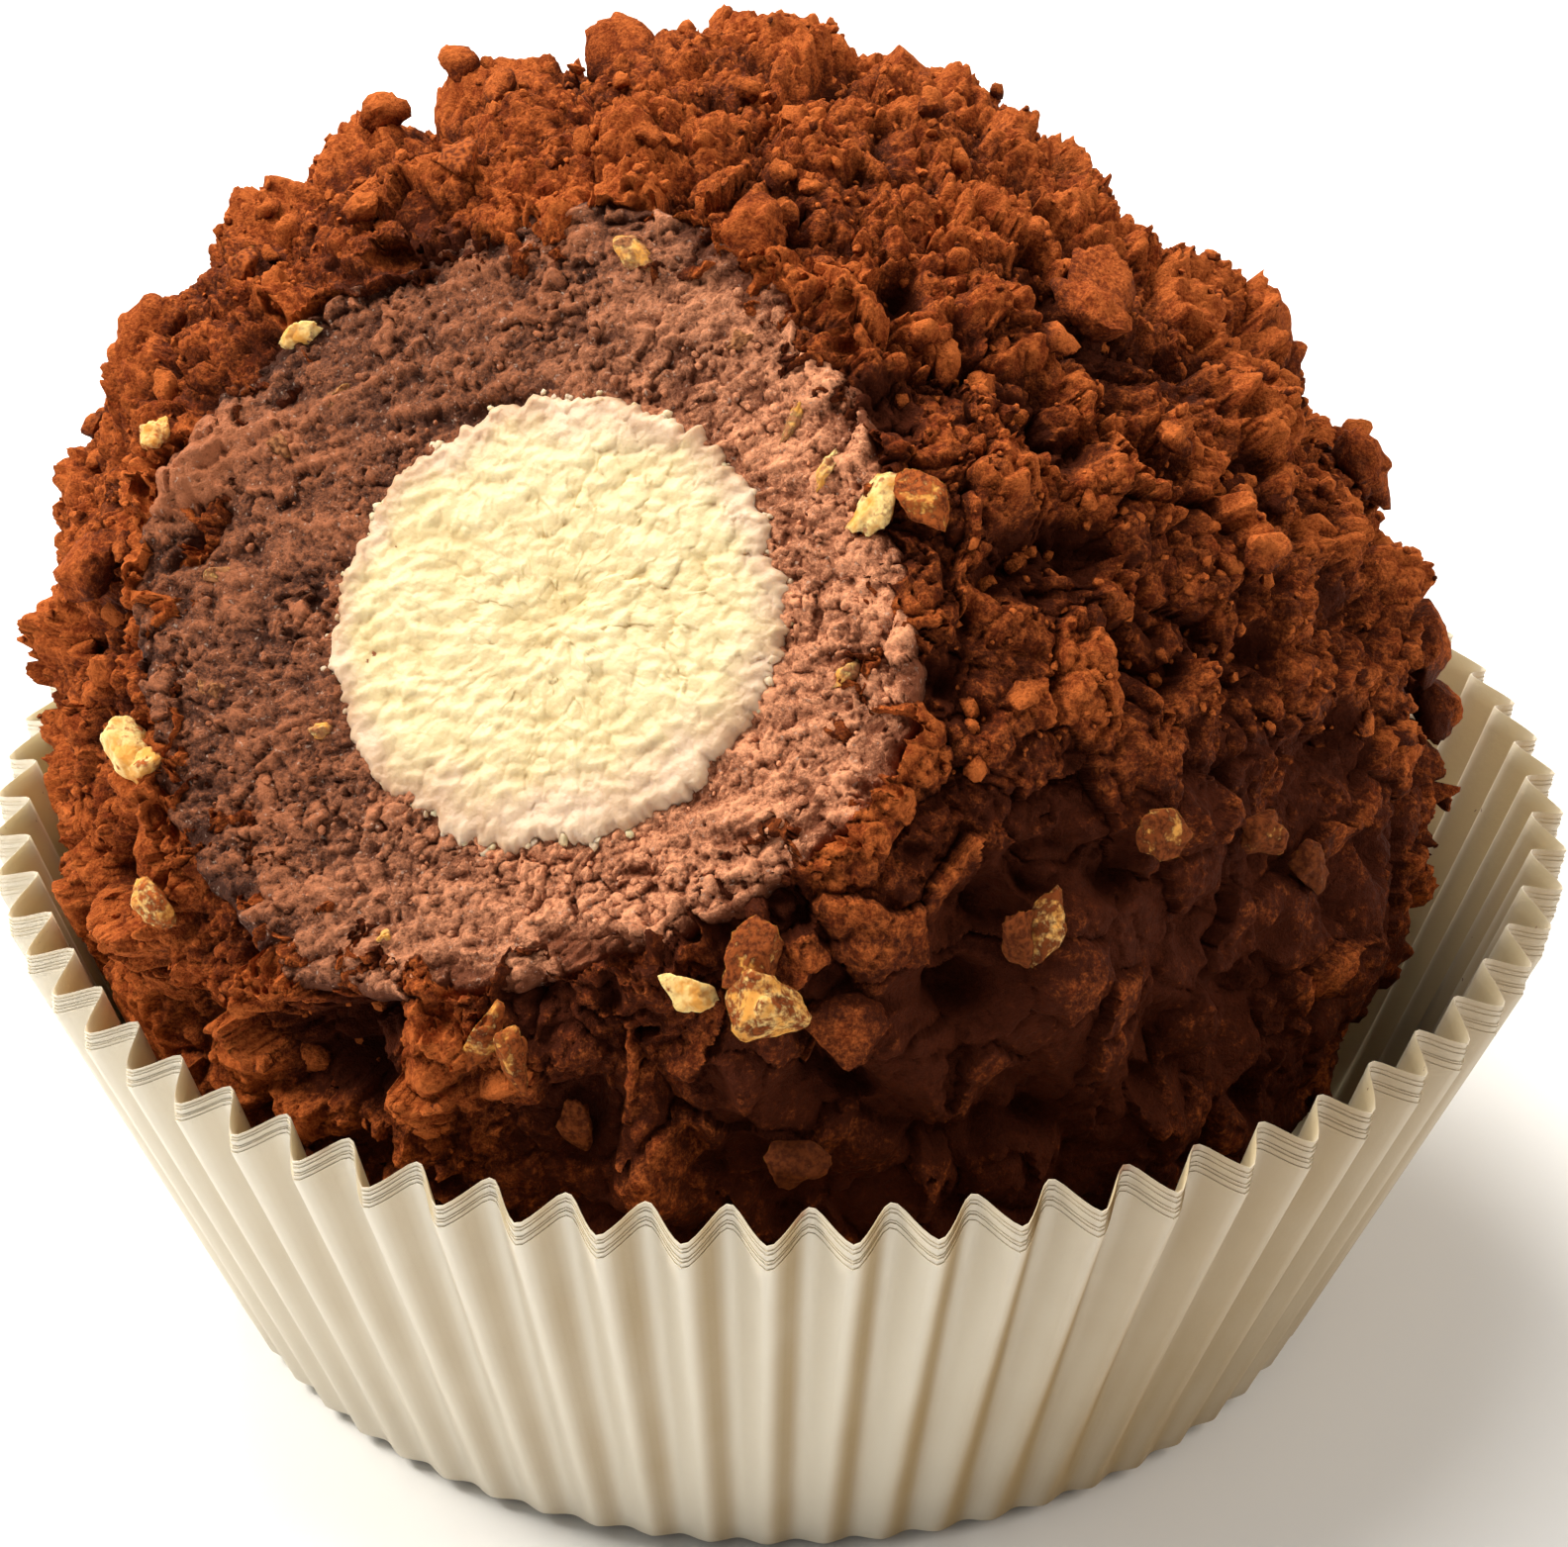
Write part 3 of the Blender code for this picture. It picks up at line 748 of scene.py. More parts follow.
def cream_finish():
    """Set cream: pale yellow, soft and a little translucent, peach and grey-beige towards its edge; darker
    olive in its hollows and grey-beige over a wider edge on the lower right, as painted shade.
    """
    finish = Finish("cream")
    grain = finish.noise(0.22, 2.0, 0.6)
    blotch = finish.noise(2.4, 3.0, 0.6)
    fringe = finish.attribute("fringe")
    standing = finish.attribute("standing")
    edge = finish.ramp(fringe + (blotch - 0.5) * 0.7, 0.22, 0.88)
    # Darker olive yellow where the cream is low: painted shade in its hollows.
    body = finish.mix(finish.ramp(standing, 0.1, 0.9), (0.62, 0.45, 0.19), (0.80, 0.68, 0.41))
    rim = finish.mix(finish.ramp(blotch, 0.35, 0.65), (0.48, 0.30, 0.18), (0.67, 0.49, 0.34))
    finish.set("Base Color", finish.mix(edge, body, rim))
    finish.set("Roughness", 0.5)
    finish.set("Subsurface Weight", 0.35)
    finish.set("Subsurface Radius", (1.0, 0.75, 0.4))
    finish.set("Subsurface Scale", 0.0009)
    finish.bump(grain, 0.05)
    return finish


def nut_finish():
    """Chopped hazelnut: pale yellow flesh in two tones, partly covered by cocoa or by the filling; the cocoa
    is painted darker than the coat's, and darker still on the lower coat, as painted shade.
    """
    finish = Finish("hazelnut")
    blotch = finish.noise(0.9, 3.0, 0.6)
    fine = finish.noise(0.25, 2.0, 0.6)
    dusted = finish.attribute("dusted")
    flesh = finish.mix(finish.ramp(blotch, 0.38, 0.62), (0.66, 0.31, 0.065), (0.82, 0.60, 0.25))
    # Darker than the coat's cocoa: painted shade for the pits and shading that the chips lack.
    cocoa = finish.mix(finish.ramp(fine, 0.35, 0.65), (0.10, 0.019, 0.005), (0.36, 0.090, 0.019))
    filling = finish.mix(finish.ramp(fine, 0.35, 0.65), (0.10, 0.034, 0.014), (0.36, 0.155, 0.065))
    share = finish.ramp(dusted + (blotch - 0.5) * 1.3 + (fine - 0.5) * 0.8, 0.30, 0.62)
    darker = finish.mix(finish.attribute("shade_and_wet") * 0.75, cocoa, (0.055, 0.014, 0.005))
    cover = finish.mix(finish.attribute("filled"), darker, filling)
    finish.set("Base Color", finish.mix(share, flesh, cover))
    finish.set("Roughness", 0.42 + 0.45 * share)
    finish.set("Specular IOR Level", 0.08)
    finish.set("Subsurface Weight", 0.25)
    finish.set("Subsurface Radius", (1.0, 0.6, 0.25))
    finish.set("Subsurface Scale", 0.0006)
    finish.bump(fine * 0.5 + blotch * 0.5, 0.14)
    return finish


def paper_finish():
    """Greaseproof paper: cream-white, faint fibres, light coming through, cocoa specks and smudges inside,
    with painted shade, painted glow and painted highlights.
    """
    finish = Finish("case_paper")
    fibre = finish.noise(0.35, 3.0, 0.6)
    cloud = finish.noise(5.0, 2.0, 0.5)
    stain = finish.attribute("stain")
    inside = finish.attribute("inside")
    shade_tan = finish.attribute("shade_tan")
    fold = finish.attribute("fold")
    inside_glow = finish.attribute("inside_glow")
    clean = finish.mix(cloud, (0.78, 0.71, 0.58), (0.83, 0.77, 0.64))
    # Browner on the right and on one side of each pleat: painted shade.
    shaded = (shade_tan + (cloud - 0.5) * 0.25) * (1 - inside)
    shaded_paper = finish.mix(finish.ramp(shaded, 0.0, 1.0), clean, (0.41, 0.275, 0.115))
    # Brighter and yellower inside, most on the left: painted glow for light coming through the paper.
    inner = finish.mix(inside_glow, (0.94, 0.79, 0.50), (0.98, 0.83, 0.46))
    shade_and_glow = finish.mix(inside * 0.95, shaded_paper, inner)
    # Lighter along the fold lines: painted highlights.
    fold_highlighted = finish.mix(fold * 0.5, shade_and_glow, (0.95, 0.91, 0.82))
    specks = finish.ramp(finish.noise(0.40, 2.0, 0.5), 0.735, 0.775)
    smudge = finish.ramp(stain + (finish.noise(0.8, 3.0, 0.6) - 0.5) * 0.9, 0.45, 0.9)
    dirt = {0: smudge * 0.75, 1: specks * inside * 0.7}
    dirty = finish.node("ShaderNodeMath", {"operation": "MAXIMUM"}, dirt)
    colour = finish.mix(dirty, fold_highlighted, (0.30, 0.11, 0.035))
    finish.set("Base Color", colour)
    finish.set("Roughness", 0.42)
    finish.set("Specular IOR Level", 0.4)
    finish.bump(fibre, 0.02)
    through = finish.node("ShaderNodeBsdfTranslucent", None, {"Color": colour})
    solid = Value(finish, finish.shader.outputs[0])
    shared = finish.node("ShaderNodeMixShader", None, {0: 0.18, 1: solid, 2: through})
    finish.join(finish.tree.nodes["Material Output"].inputs["Surface"], shared)
    return finish


def floor_finish():
    finish = Finish("floor")
    tone = finish.noise(60.0, 2.0, 0.5)
    finish.set("Base Color", finish.mix(tone, (0.85, 0.87, 0.90), (0.88, 0.90, 0.93)))
    finish.set("Roughness", 0.9)
    return finish


def low_shade_and_wet(points):
    """How dark the coat is, from 0 to 1: painted shade towards the bottom, where the case shades it, save on
    the lit places, and wet slabs of the lower front and lower right, darker partly as painted shade.
    """
    ways = unit(points - TRUFFLE_CENTRE)
    # Darker towards the bottom, where the case shades the coat: painted shade.
    low = np.clip((6.0 - (points[:, 2] - TRUFFLE_CENTRE[2])) / 14.0, 0, 1)
    low *= 1 - np.clip(patches(ways, UNSHADED_PATCHES), 0, 1)
    return np.clip(0.35 * low + 0.8 * patches(ways, WET_SHADED_PATCHES), 0, 1)


# Bands of the coat about the cut's axis: name, start and stop in degrees from the axis, rows, columns.
COAT_BANDS = (
    ("coat_rim", 28.5, 47.3, 84, 1100),
    ("coat_front", 46.7, 64.3, 78, 1200),
    ("coat_crown", 63.7, 81.3, 78, 1200),
    ("coat_side", 80.7, 98.3, 78, 1200),
    ("coat_back", 97.7, 124.3, 72, 820),
    ("coat_foot", 123.7, 179.0, 76, 400),
)
COAT_SHELL_RADIUS = 23.0


def even_turns(columns, thin):
    """Angles round the cut's axis, closer together above than below, where the case hides the coat.

    The density is 1 less thin times a soft spot about straight down; its running sum is read backwards.
    """
    fine = np.linspace(-math.pi, math.pi, 4001)
    density = 1 - thin * np.exp((np.cos(fine + math.pi / 2) - 1) / 0.45)
    total = np.concatenate([[0.0], np.cumsum(0.5 * (density[1:] + density[:-1]))])
    share = (np.arange(columns) + 0.5) / columns
    return np.interp(share * total[-1], total, fine)


def coat_ways(tilts, turns):
    """Ways at angles from the cut's axis and turns round it."""
    tilt, turn = np.meshgrid(tilts, turns, indexing="ij")
    side = ACROSS * np.cos(turn)[..., None] + UP * np.sin(turn)[..., None]
    return (OUT * np.cos(tilt)[..., None] + side * np.sin(tilt)[..., None]).reshape(-1, 3)


def make_coat(finish):
    """Each band is a closed ring: its craggy outside, and an inner return at one radius."""
    for name, start, stop, rows, columns in COAT_BANDS:
        tilts = np.linspace(start, stop, rows) * DEG
        turns = even_turns(columns, 0.0 if name == "coat_rim" else 0.75)
        outside, standing, crest = coat_surface(coat_ways(tilts, turns))
        inside = TRUFFLE_CENTRE + COAT_SHELL_RADIUS * coat_ways(tilts[[-1, 0]], turns)
        inside[:, 2] = np.maximum(inside[:, 2], FOOT + 0.5)
        inside -= OUT * np.maximum((inside - TRUFFLE_CENTRE) @ OUT - CUT_DISTANCE + 4.0, 0)[:, None]
        points = np.concatenate([outside, inside])
        quads = wrapped_grid(rows + 2, columns, True)[:, ::-1]
        attributes = {
            "standing": padded(standing, len(inside)),
            "crest": padded(crest, len(inside)),
            "shade_and_wet": low_shade_and_wet(points),
        }
        new_piece(name, points, quads, None, finish, "chocolate_body", attributes)


def bit_shapes(count, rows, columns, rng, roughness, planes):
    """Broken bits about 1 across: balls pushed in and out by noise, then cut back to random flat sides.

    A ball's points are rows of latitude by columns of longitude, with two poles at the end.
    """
    latitude = (np.arange(rows) + 1) / (rows + 1) * math.pi
    lat, lon = np.meshgrid(latitude, round_turns(columns), indexing="ij")
    ball = [np.sin(lat) * np.cos(lon), np.sin(lat) * np.sin(lon), np.cos(lat)]
    ball = np.stack(ball, axis=-1).reshape(-1, 3)
    ball = np.concatenate([ball, [[0, 0, 1], [0, 0, -1]]])
    shapes = np.broadcast_to(ball, (count, *ball.shape)).copy()
    shift = rng.uniform(-40, 40, (count, 1, 3))
    flat = (shapes * 1.1 + shift).reshape(-1, 3)
    push = 1 + roughness * smooth_noise(flat, 71) + 0.45 * roughness * smooth_noise(flat * 2.6, 72)
    shapes *= push.reshape(count, -1, 1)
    normals = unit(rng.normal(size=(count, planes, 3)))
    limits = rng.uniform(0.55, 0.85, (count, planes))
    for index in range(planes):
        normal = normals[:, index][:, None, :]
        beyond = np.sum(shapes * normal, axis=-1) - limits[:, index][:, None]
        shapes -= normal * np.maximum(beyond, 0)[..., None] * 0.93
    return 0.5 * shapes


def place_bits(shapes, sizes, turns, normals, centres):
    """Scales the shapes, turns them about their own Z, stands that along the normals and moves them."""
    upward = unit(normals)
    side = np.cross([0.0, 0.0, 1.0], upward)
    side = unit(np.where(np.linalg.norm(side, axis=-1, keepdims=True) < 1e-6, [1.0, 0.0, 0.0], side))
    rise = np.cross(upward, side)
    cosine, sine = np.cos(turns)[:, None], np.sin(turns)[:, None]
    length = side * cosine + rise * sine
    width = rise * cosine - side * sine
    scaled = shapes * sizes[:, None, :]
    axes = np.stack([length, width, upward], axis=1)
    return np.einsum("nvi,nij->nvj", scaled, axes) + centres[:, None, :]


def bit_faces(count, rows, columns):
    """Quads and triangles of count bits, one after another."""
    points = rows * columns + 2
    start = (np.arange(count) * points)[:, None, None]
    quads = (wrapped_grid(rows, columns, False)[:, ::-1][None] + start).reshape(-1, 4)
    fans = (pole_fans(rows, columns)[:, ::-1][None] + start).reshape(-1, 3)
    return quads, fans


def fits(way, size):
    """Whether a bit there is clear of the cut, the floor and the case, as the solids' own rule has it."""
    radius, _ = bare_radius(way[None])
    point = pressed_in(TRUFFLE_CENTRE + way[None] * radius[:, None])[0]
    margin = 0.5 * size
    before_cut = (point - TRUFFLE_CENTRE) @ OUT < CUT_DISTANCE - 0.2
    inside = math.hypot(point[0], point[1]) + margin < wall_limit(point[2] - margin)
    return point, before_cut and inside and point[2] > INNER_CASE_RISE + CASE_WALL + 4 * margin


def solid_bits():
    """The solids' chips and lumps, by the same seeded draws: point, way, sizes, turn, whether nut, and cover.

    Listed chips that the slice takes off the solid are kept here and drawn back to the cut.
    """
    rng = np.random.default_rng(SEED)
    chips = zip(NUT_CHIPS, CHIP_DUST)
    wanted = [(direction(*row[:2]), row[2:], CHIP_SINK, True, dust) for row, dust in chips]
    wanted += [(direction(*row[:2]), row[2:], LUMP_SINK, False, 1.0) for row in COAT_LUMPS]
    scatter = (
        (SCATTERED_CHIPS, CHIP_SIZES, CHIP_SINK, True),
        (SCATTERED_LUMPS, LUMP_SIZES, LUMP_SINK, False),
    )
    for count, sizes, sink, nut in scatter:
        for _ in range(count):
            way = unit(rng.normal(size=3))
            drawn = tuple(size * rng.uniform(0.75, 1.15) for size in sizes)
            wanted.append((way, drawn, sink, nut, 0.9))
    kept = []
    for way, sizes, sink, nut, dust in wanted:
        turn = rng.uniform(0, math.pi)
        rng.uniform(0.8, 1.12, 12)
        point, good = fits(way, sizes[0])
        if good or dust < 0.7:
            point = point - OUT * max((point - TRUFFLE_CENTRE) @ OUT - CUT_DISTANCE, 0.0)
            kept.append((point - way * sizes[2] * sink, way, sizes, turn, nut, dust))
    return kept


def make_solid_bits(cocoa, nut):
    """The chips and lumps that the solid has too, rough and chipped."""
    kept = solid_bits()
    rng = np.random.default_rng(11)
    rows, columns = 19, 32
    kinds = (("coat_lumps", False, cocoa, "cocoa_chocolate"), ("nut_chips", True, nut, "hazelnut"))
    for name, wanted, finish, slot in kinds:
        chosen = [bit for bit in kept if bit[4] == wanted]
        count = len(chosen)
        centres, ways, sizes = (np.array([bit[i] for bit in chosen]) for i in range(3))
        turns = np.array([bit[3] for bit in chosen])
        shapes = bit_shapes(count, rows, columns, rng, 0.7, 7)
        points = place_bits(shapes, sizes * 1.08, turns, ways, centres)
        flat = points.reshape(-1, 3)
        grit = 0.16 * smooth_noise(flat / 0.7, 73) + 0.11 * smooth_noise(flat / 0.35, 74)
        outward = unit(points - centres[:, None, :]).reshape(-1, 3)
        flat = flat + outward * grit[:, None]
        upward = np.sum(outward.reshape(count, -1, 3) * ways[:, None, :], axis=-1).ravel()
        share = np.array([bit[5] for bit in chosen])
        dusted = np.repeat(share, rows * columns + 2) + 0.12 * (1 - upward)
        attributes = {
            # Lighter on the side that faces out, darker on the side turned to the coat: painted shade under
            # each bit.
            "standing": np.clip(0.40 + 0.35 * upward, 0, 1),
            "crest": np.clip(0.5 + 3 * grit, 0, 1),
            "shade_and_wet": low_shade_and_wet(flat),
            "dusted": dusted,
        }
        quads, fans = bit_faces(count, rows, columns)
        new_piece(name, flat, quads, fans, finish, "chocolate_body", attributes)


def coat_anchors(count, rng):
    """Random spots on the coat, clear of the cut and the case: ways, points and outward normals.

    More of them lie on the side with the cut. A normal is the cross product of two short steps on the coat.
    """
    ways = unit(rng.normal(size=(4 * count, 3)))
    lean = unit(OUT + np.array([0.6, 0.0, 0.5]))
    ways = ways[rng.uniform(0, 1, len(ways)) < 0.35 + 0.65 * np.clip(0.6 + 0.6 * (ways @ lean), 0, 1)]
    bare, _ = bare_radius(ways)
    spots = ways * bare[:, None]
    good = (spots @ OUT < CUT_DISTANCE - 0.3) & (spots[:, 2] + TRUFFLE_CENTRE[2] > 12.0)
    good &= slabbed(ways) < 0.55
    reach = np.hypot(spots[:, 0] + TRUFFLE_CENTRE[0], spots[:, 1])
    good &= reach + 0.8 < wall_limit(spots[:, 2] + TRUFFLE_CENTRE[2])
    ways = ways[good][:count]
    side = unit(np.cross([0.0, 0.0, 1.0], ways))
    rise = np.cross(ways, side)
    step = 0.4 / TRUFFLE_RADIUS
    steps = (0 * side, side, rise)
    middle, beside, above = (coat_surface(unit(ways + way * step))[0] for way in steps)
    normals = unit(np.cross(beside - middle, above - middle))
    normals = unit(np.where(np.isfinite(normals), normals, ways) + 0.6 * ways)
    return ways, middle, normals


def make_crumbs(name, count, sizes, rows, columns, seed, finish):
    """Crumbs and grains of coat stuck to it: broken bits of random size, half sunk at random spots."""
    rng = np.random.default_rng(seed)
    ways, spots, normals = coat_anchors(count, rng)
    count = len(ways)
    low, high = sizes
    size = low * (high / low) ** (rng.uniform(0, 1, count) ** 1.8)
    aspect = rng.uniform(0.65, 1.25, (count, 3))
    shapes = bit_shapes(count, rows, columns, rng, 0.75, 4)
    lean = unit(normals + 0.5 * rng.normal(size=(count, 3)))
    centres = spots + normals * (size * rng.uniform(-0.12, 0.22, count))[:, None]
    points = place_bits(shapes, size[:, None] * aspect, rng.uniform(0, math.tau, count), lean, centres)
    outward = unit(points - centres[:, None, :])
    upward = np.sum(outward * normals[:, None, :], axis=-1).ravel()
    tone = np.repeat(rng.uniform(-0.22, 0.2, count), rows * columns + 2)
    flat = points.reshape(-1, 3)
    attributes = {
        # Lighter on the side that faces out, darker on the side turned to the coat: painted shade under each
        # crumb.
        "standing": np.clip(0.48 + 0.4 * upward + tone, 0, 1),
        "crest": np.clip(0.5 + 0.5 * upward, 0, 1),
        "shade_and_wet": low_shade_and_wet(flat),
    }
    quads, fans = bit_faces(count, rows, columns)
    new_piece(name, flat, quads, fans, finish, "chocolate_body", attributes, sharp=50)


def face_point(across, up, out):
    """A point from its place on the cut face."""
    return FACE_CENTRE + ACROSS * across[..., None] + UP * up[..., None] + OUT * out[..., None]


def raked(flat, turn, long, short, seed):
    """Noise drawn out along the knife's way: long by short, turned from across by some degrees."""
    across, up = flat[:, 0], flat[:, 1]
    cosine, sine = math.cos(turn * DEG), math.sin(turn * DEG)
    along = (across * cosine + up * sine) / long
    over = (up * cosine - across * sine) / short
    return smooth_noise(np.stack([along, over, np.full_like(along, 0.37)], axis=-1), seed)


def oval(across, up, middle_across, middle_up, turn, half_length, half_width):
    """A soft spot on the face, 1 at its middle."""
    away_across, away_up = across - middle_across, up - middle_up
    cosine, sine = math.cos(turn * DEG), math.sin(turn * DEG)
    along = (away_across * cosine + away_up * sine) / half_length
    over = (away_up * cosine - away_across * sine) / half_width
    return np.exp(-(along**2) - over**2)


def make_ganache(finish):
    """The filling that shows at the cut: a ring from under the core's edge out into the crust.

    In front it is raked along the knife's curved way and set with crumbs and grains, torn towards the crust.
    The profile runs out along the front, back at the crust and in again behind, under the core's edge.
    """
    columns, rows = 960, 100
    turns = round_turns(columns)
    circle = on_circle(turns)
    ragged = 0.8 * smooth_noise(circle * 5, 96) + smooth_noise(circle * 11, 81)
    ragged += 0.5 * smooth_noise(circle * 24, 94)
    reach = border_reach(turns) - 0.05 + 0.60 * ragged
    share = (np.arange(rows) / (rows - 1))[:, None]
    inner_across = CORE_ACROSS + (CORE_DISC_RADIUS - 1.6) * np.cos(turns)
    inner_up = CORE_UP + (CORE_DISC_RADIUS - 1.6) * np.sin(turns)
    across = (inner_across * (1 - share) + reach * np.cos(turns) * share).ravel()
    up = (inner_up * (1 - share) + reach * np.sin(turns) * share).ravel()
    flat = np.stack([across, up, 0 * across], axis=-1)
    outwards = np.repeat(share.ravel(), columns)
    torn = np.clip((outwards - 0.72) / 0.28, 0, 1)
    swell = smooth_noise(flat / 4.2, 82)
    warped = flat + 0.4 * vector_noise(flat / 1.3, 83)
    rough = np.clip(0.55 + 1.3 * smooth_noise(flat / 4.0, 92), 0.15, 1.2)
    bent = flat + 1.4 * vector_noise(flat / 5.0, 88)
    rake = raked(bent, 32, 2.8, 0.75, 86) + 0.7 * raked(bent, 38, 1.4, 0.36, 87)
    height = 0.30 * swell + 0.26 * rake * (1.25 - 0.5 * rough) + 0.11 * raked(bent, 35, 0.8, 0.21, 90)
    height += rough * clods(warped, 1.1, 84, 0.10, 0.30, 0.16)
    height += (0.5 + 0.5 * rough) * clods(warped, 0.5, 85, 0.06, 0.2, 0.08)
    height += 0.12 * domes(warped, 0.42, 93) + 0.10 * domes(flat, 0.23, 89)
    height += torn * clods(flat + 0.9 * vector_noise(flat / 2.0, 95), 2.0, 91, 0.22, 0.5, 0.30)
    for rise, *place in FACE_MARKS:
        height += rise * oval(across, up, *place)
    height -= 0.30 * np.clip((outwards - 0.86) / 0.14, 0, 1) ** 2
    height -= 0.25 * np.clip((outwards - 0.97) / 0.03, 0, 1) ** 2
    front = face_point(across, up, height - 0.1)
    back_depth = np.full(columns, -1.6)
    outer_back = face_point(reach * np.cos(turns), reach * np.sin(turns), back_depth)
    inner_back = face_point(inner_across, inner_up, back_depth)
    points = np.concatenate([front, outer_back, inner_back])
    # Lower places get a lower standing, which the finish paints darker: painted shade.
    standing = np.clip(0.5 + 1.5 * (height - 0.30 * swell - 0.12), 0, 1)
    attributes = {
        "standing": padded(standing, 2 * columns),
        "warm": padded(warmth(across, up), 2 * columns),
    }
    quads = wrapped_grid(rows + 2, columns, True)[:, ::-1]
    new_piece("ganache", points, quads, None, finish, "chocolate_body", attributes)


def warmth(across, up):
    """How rosy and light the filling is, from 0 on the upper left to 1 on the lower right."""
    return np.clip(0.38 + 0.08 * across - 0.014 * up, 0, 1)


def core_reach(turns):
    """The cream's listed edge, with unevenness of three sizes."""
    circle = on_circle(turns)
    table = np.array(CORE_EDGE)
    reach = np.interp(turns, table[:, 0] * DEG, table[:, 1], period=math.tau) - 0.1
    reach += 0.32 * smooth_noise(circle * 8, 102) + 0.38 * smooth_noise(circle * 17, 101)
    return reach + 0.24 * smooth_noise(circle * 36, 110)


def make_core(finish):
    """The cream core: a ball whose cut side stands a little out of the chocolate.

    Its front is raked in ridges on the left and lumpy above. The edge rolls down over half a millimetre, and
    the rest is the ball behind the cut.
    """
    columns, rows, behind = 720, 112, 16
    turns = round_turns(columns)
    edge = core_reach(turns)
    share = ((np.arange(rows) + 1) / rows)[:, None]
    radius = (edge * share).ravel()
    turn = np.tile(turns, rows)
    across = CORE_ACROSS + radius * np.cos(turn)
    up = CORE_UP + radius * np.sin(turn)
    flat = np.stack([across, up, 0 * across], axis=-1)
    warped = flat + 0.35 * vector_noise(flat / 1.5, 103) + 0.30 * vector_noise(flat / 0.6, 116)
    lumpy = np.clip(0.5 + 0.9 * smooth_noise(flat / 5.0, 104) + 0.05 * (up + across), 0, 1)
    bent = flat + 0.9 * vector_noise(flat / 3.0, 113)
    ridges = raked(bent, 17, 1.15, 0.52, 107) + 0.5 * raked(bent, 42, 0.8, 0.40, 108)
    height = 0.26 + 0.22 * smooth_noise(flat / 3.6, 109) + (0.21 - 0.07 * lumpy) * ridges
    height += (0.15 + 0.50 * lumpy) * clods(warped, 0.95, 105, 0.07, 0.15, 0.0)
    height += (0.07 + 0.06 * lumpy) * domes(warped, 0.95, 105)
    height += 0.10 * domes(warped, 0.52, 106) + 0.02 * domes(flat, 0.28, 114)
    inwards = np.tile(edge, rows) - radius
    roll = np.clip(1 - inwards / 0.5, 0, 1)
    height -= 0.60 * (1 - np.sqrt(np.clip(1 - roll**2, 0, 1)))
    front = face_point(across, up, height)
    depth = math.sqrt(CORE_RADIUS**2 - CORE_DISC_RADIUS**2)
    rim_angle = math.atan2(CORE_DISC_RADIUS, depth)
    angles = (rim_angle + (math.pi - rim_angle) * (np.arange(behind) + 0.5) / behind)[:, None]
    ring = (CORE_RADIUS - CLEARANCE) * np.sin(angles)
    sunk = np.broadcast_to(CORE_RADIUS * np.cos(angles) - depth, (behind, columns)).ravel()
    rear = face_point(
        (CORE_ACROSS + ring * np.cos(turns)).ravel(),
        (CORE_UP + ring * np.sin(turns)).ravel(),
        sunk,
    )
    middle = face_point(np.array([CORE_ACROSS]), np.array([CORE_UP]), height[:columns].mean(keepdims=True))
    back = face_point(np.array([CORE_ACROSS]), np.array([CORE_UP]), np.array([-CORE_RADIUS - depth]))
    points = np.concatenate([front, rear, middle, back])
    spare = len(rear) + 2
    # The fringe widens most on the lower right, where the edge turns from the light, so its grey-beige there
    # is partly painted shade.
    lower_right = np.maximum(np.cos(turn + 55 * DEG), 0)
    above = np.maximum(np.cos(turn - 100 * DEG), 0)
    below = np.maximum(np.cos(turn + 100 * DEG), 0)
    fringe = np.clip(1 - inwards / (1.3 + 3.0 * lower_right + 2.2 * above + 1.5 * below), 0, 1)
    # Low places get a low standing, which the finish paints darker olive: painted shade.
    attributes = {
        "fringe": padded(fringe, spare),
        "standing": padded(np.clip(0.55 + 1.2 * (height - 0.42), 0, 1), spare),
    }
    total = rows + behind
    quads = wrapped_grid(total, columns, False)[:, ::-1]
    fans = pole_fans(total, columns)[:, ::-1]
    new_piece("cream_core_face", points, quads, fans, finish, "cream_core", attributes)


def make_face_crumbs(name, count, sizes, seed, finish, node, ring):
    """Loose crumbs on the cut face, within ring's inner and outer radius about the core."""
    rng = np.random.default_rng(seed)
    rows, columns = 4, 7
    turns = rng.uniform(0, math.tau, count)
    inner, outer = ring
    radius = core_reach(turns) + inner + (outer - inner) * rng.uniform(0, 1, count)
    across = CORE_ACROSS + radius * np.cos(turns)
    up = CORE_UP + radius * np.sin(turns)
    good = np.hypot(across, up) < border_reach(np.arctan2(up, across)) - 0.9
    across, up = across[good], up[good]
    count = len(across)
    low, high = sizes
    size = low * (high / low) ** (rng.uniform(0, 1, count) ** 1.6)
    shapes = bit_shapes(count, rows, columns, rng, 0.6, 2)
    aspect = rng.uniform(0.75, 1.3, (count, 3))
    centres = face_point(across, up, size * rng.uniform(-0.2, 0.2, count))
    leans = unit(OUT + 0.4 * rng.normal(size=(count, 3)))
    points = place_bits(shapes, size[:, None] * aspect, rng.uniform(0, math.tau, count), leans, centres)
    flat = points.reshape(-1, 3)
    each = rows * columns + 2
    attributes = {
        "standing": np.repeat(rng.uniform(0.35, 0.95, count), each),
        "warm": np.repeat(warmth(across, up), each),
        "fringe": np.repeat(rng.uniform(0.3, 1.0, count), each),
    }
    quads, fans = bit_faces(count, rows, columns)
    new_piece(name, flat, quads, fans, finish, node, attributes)


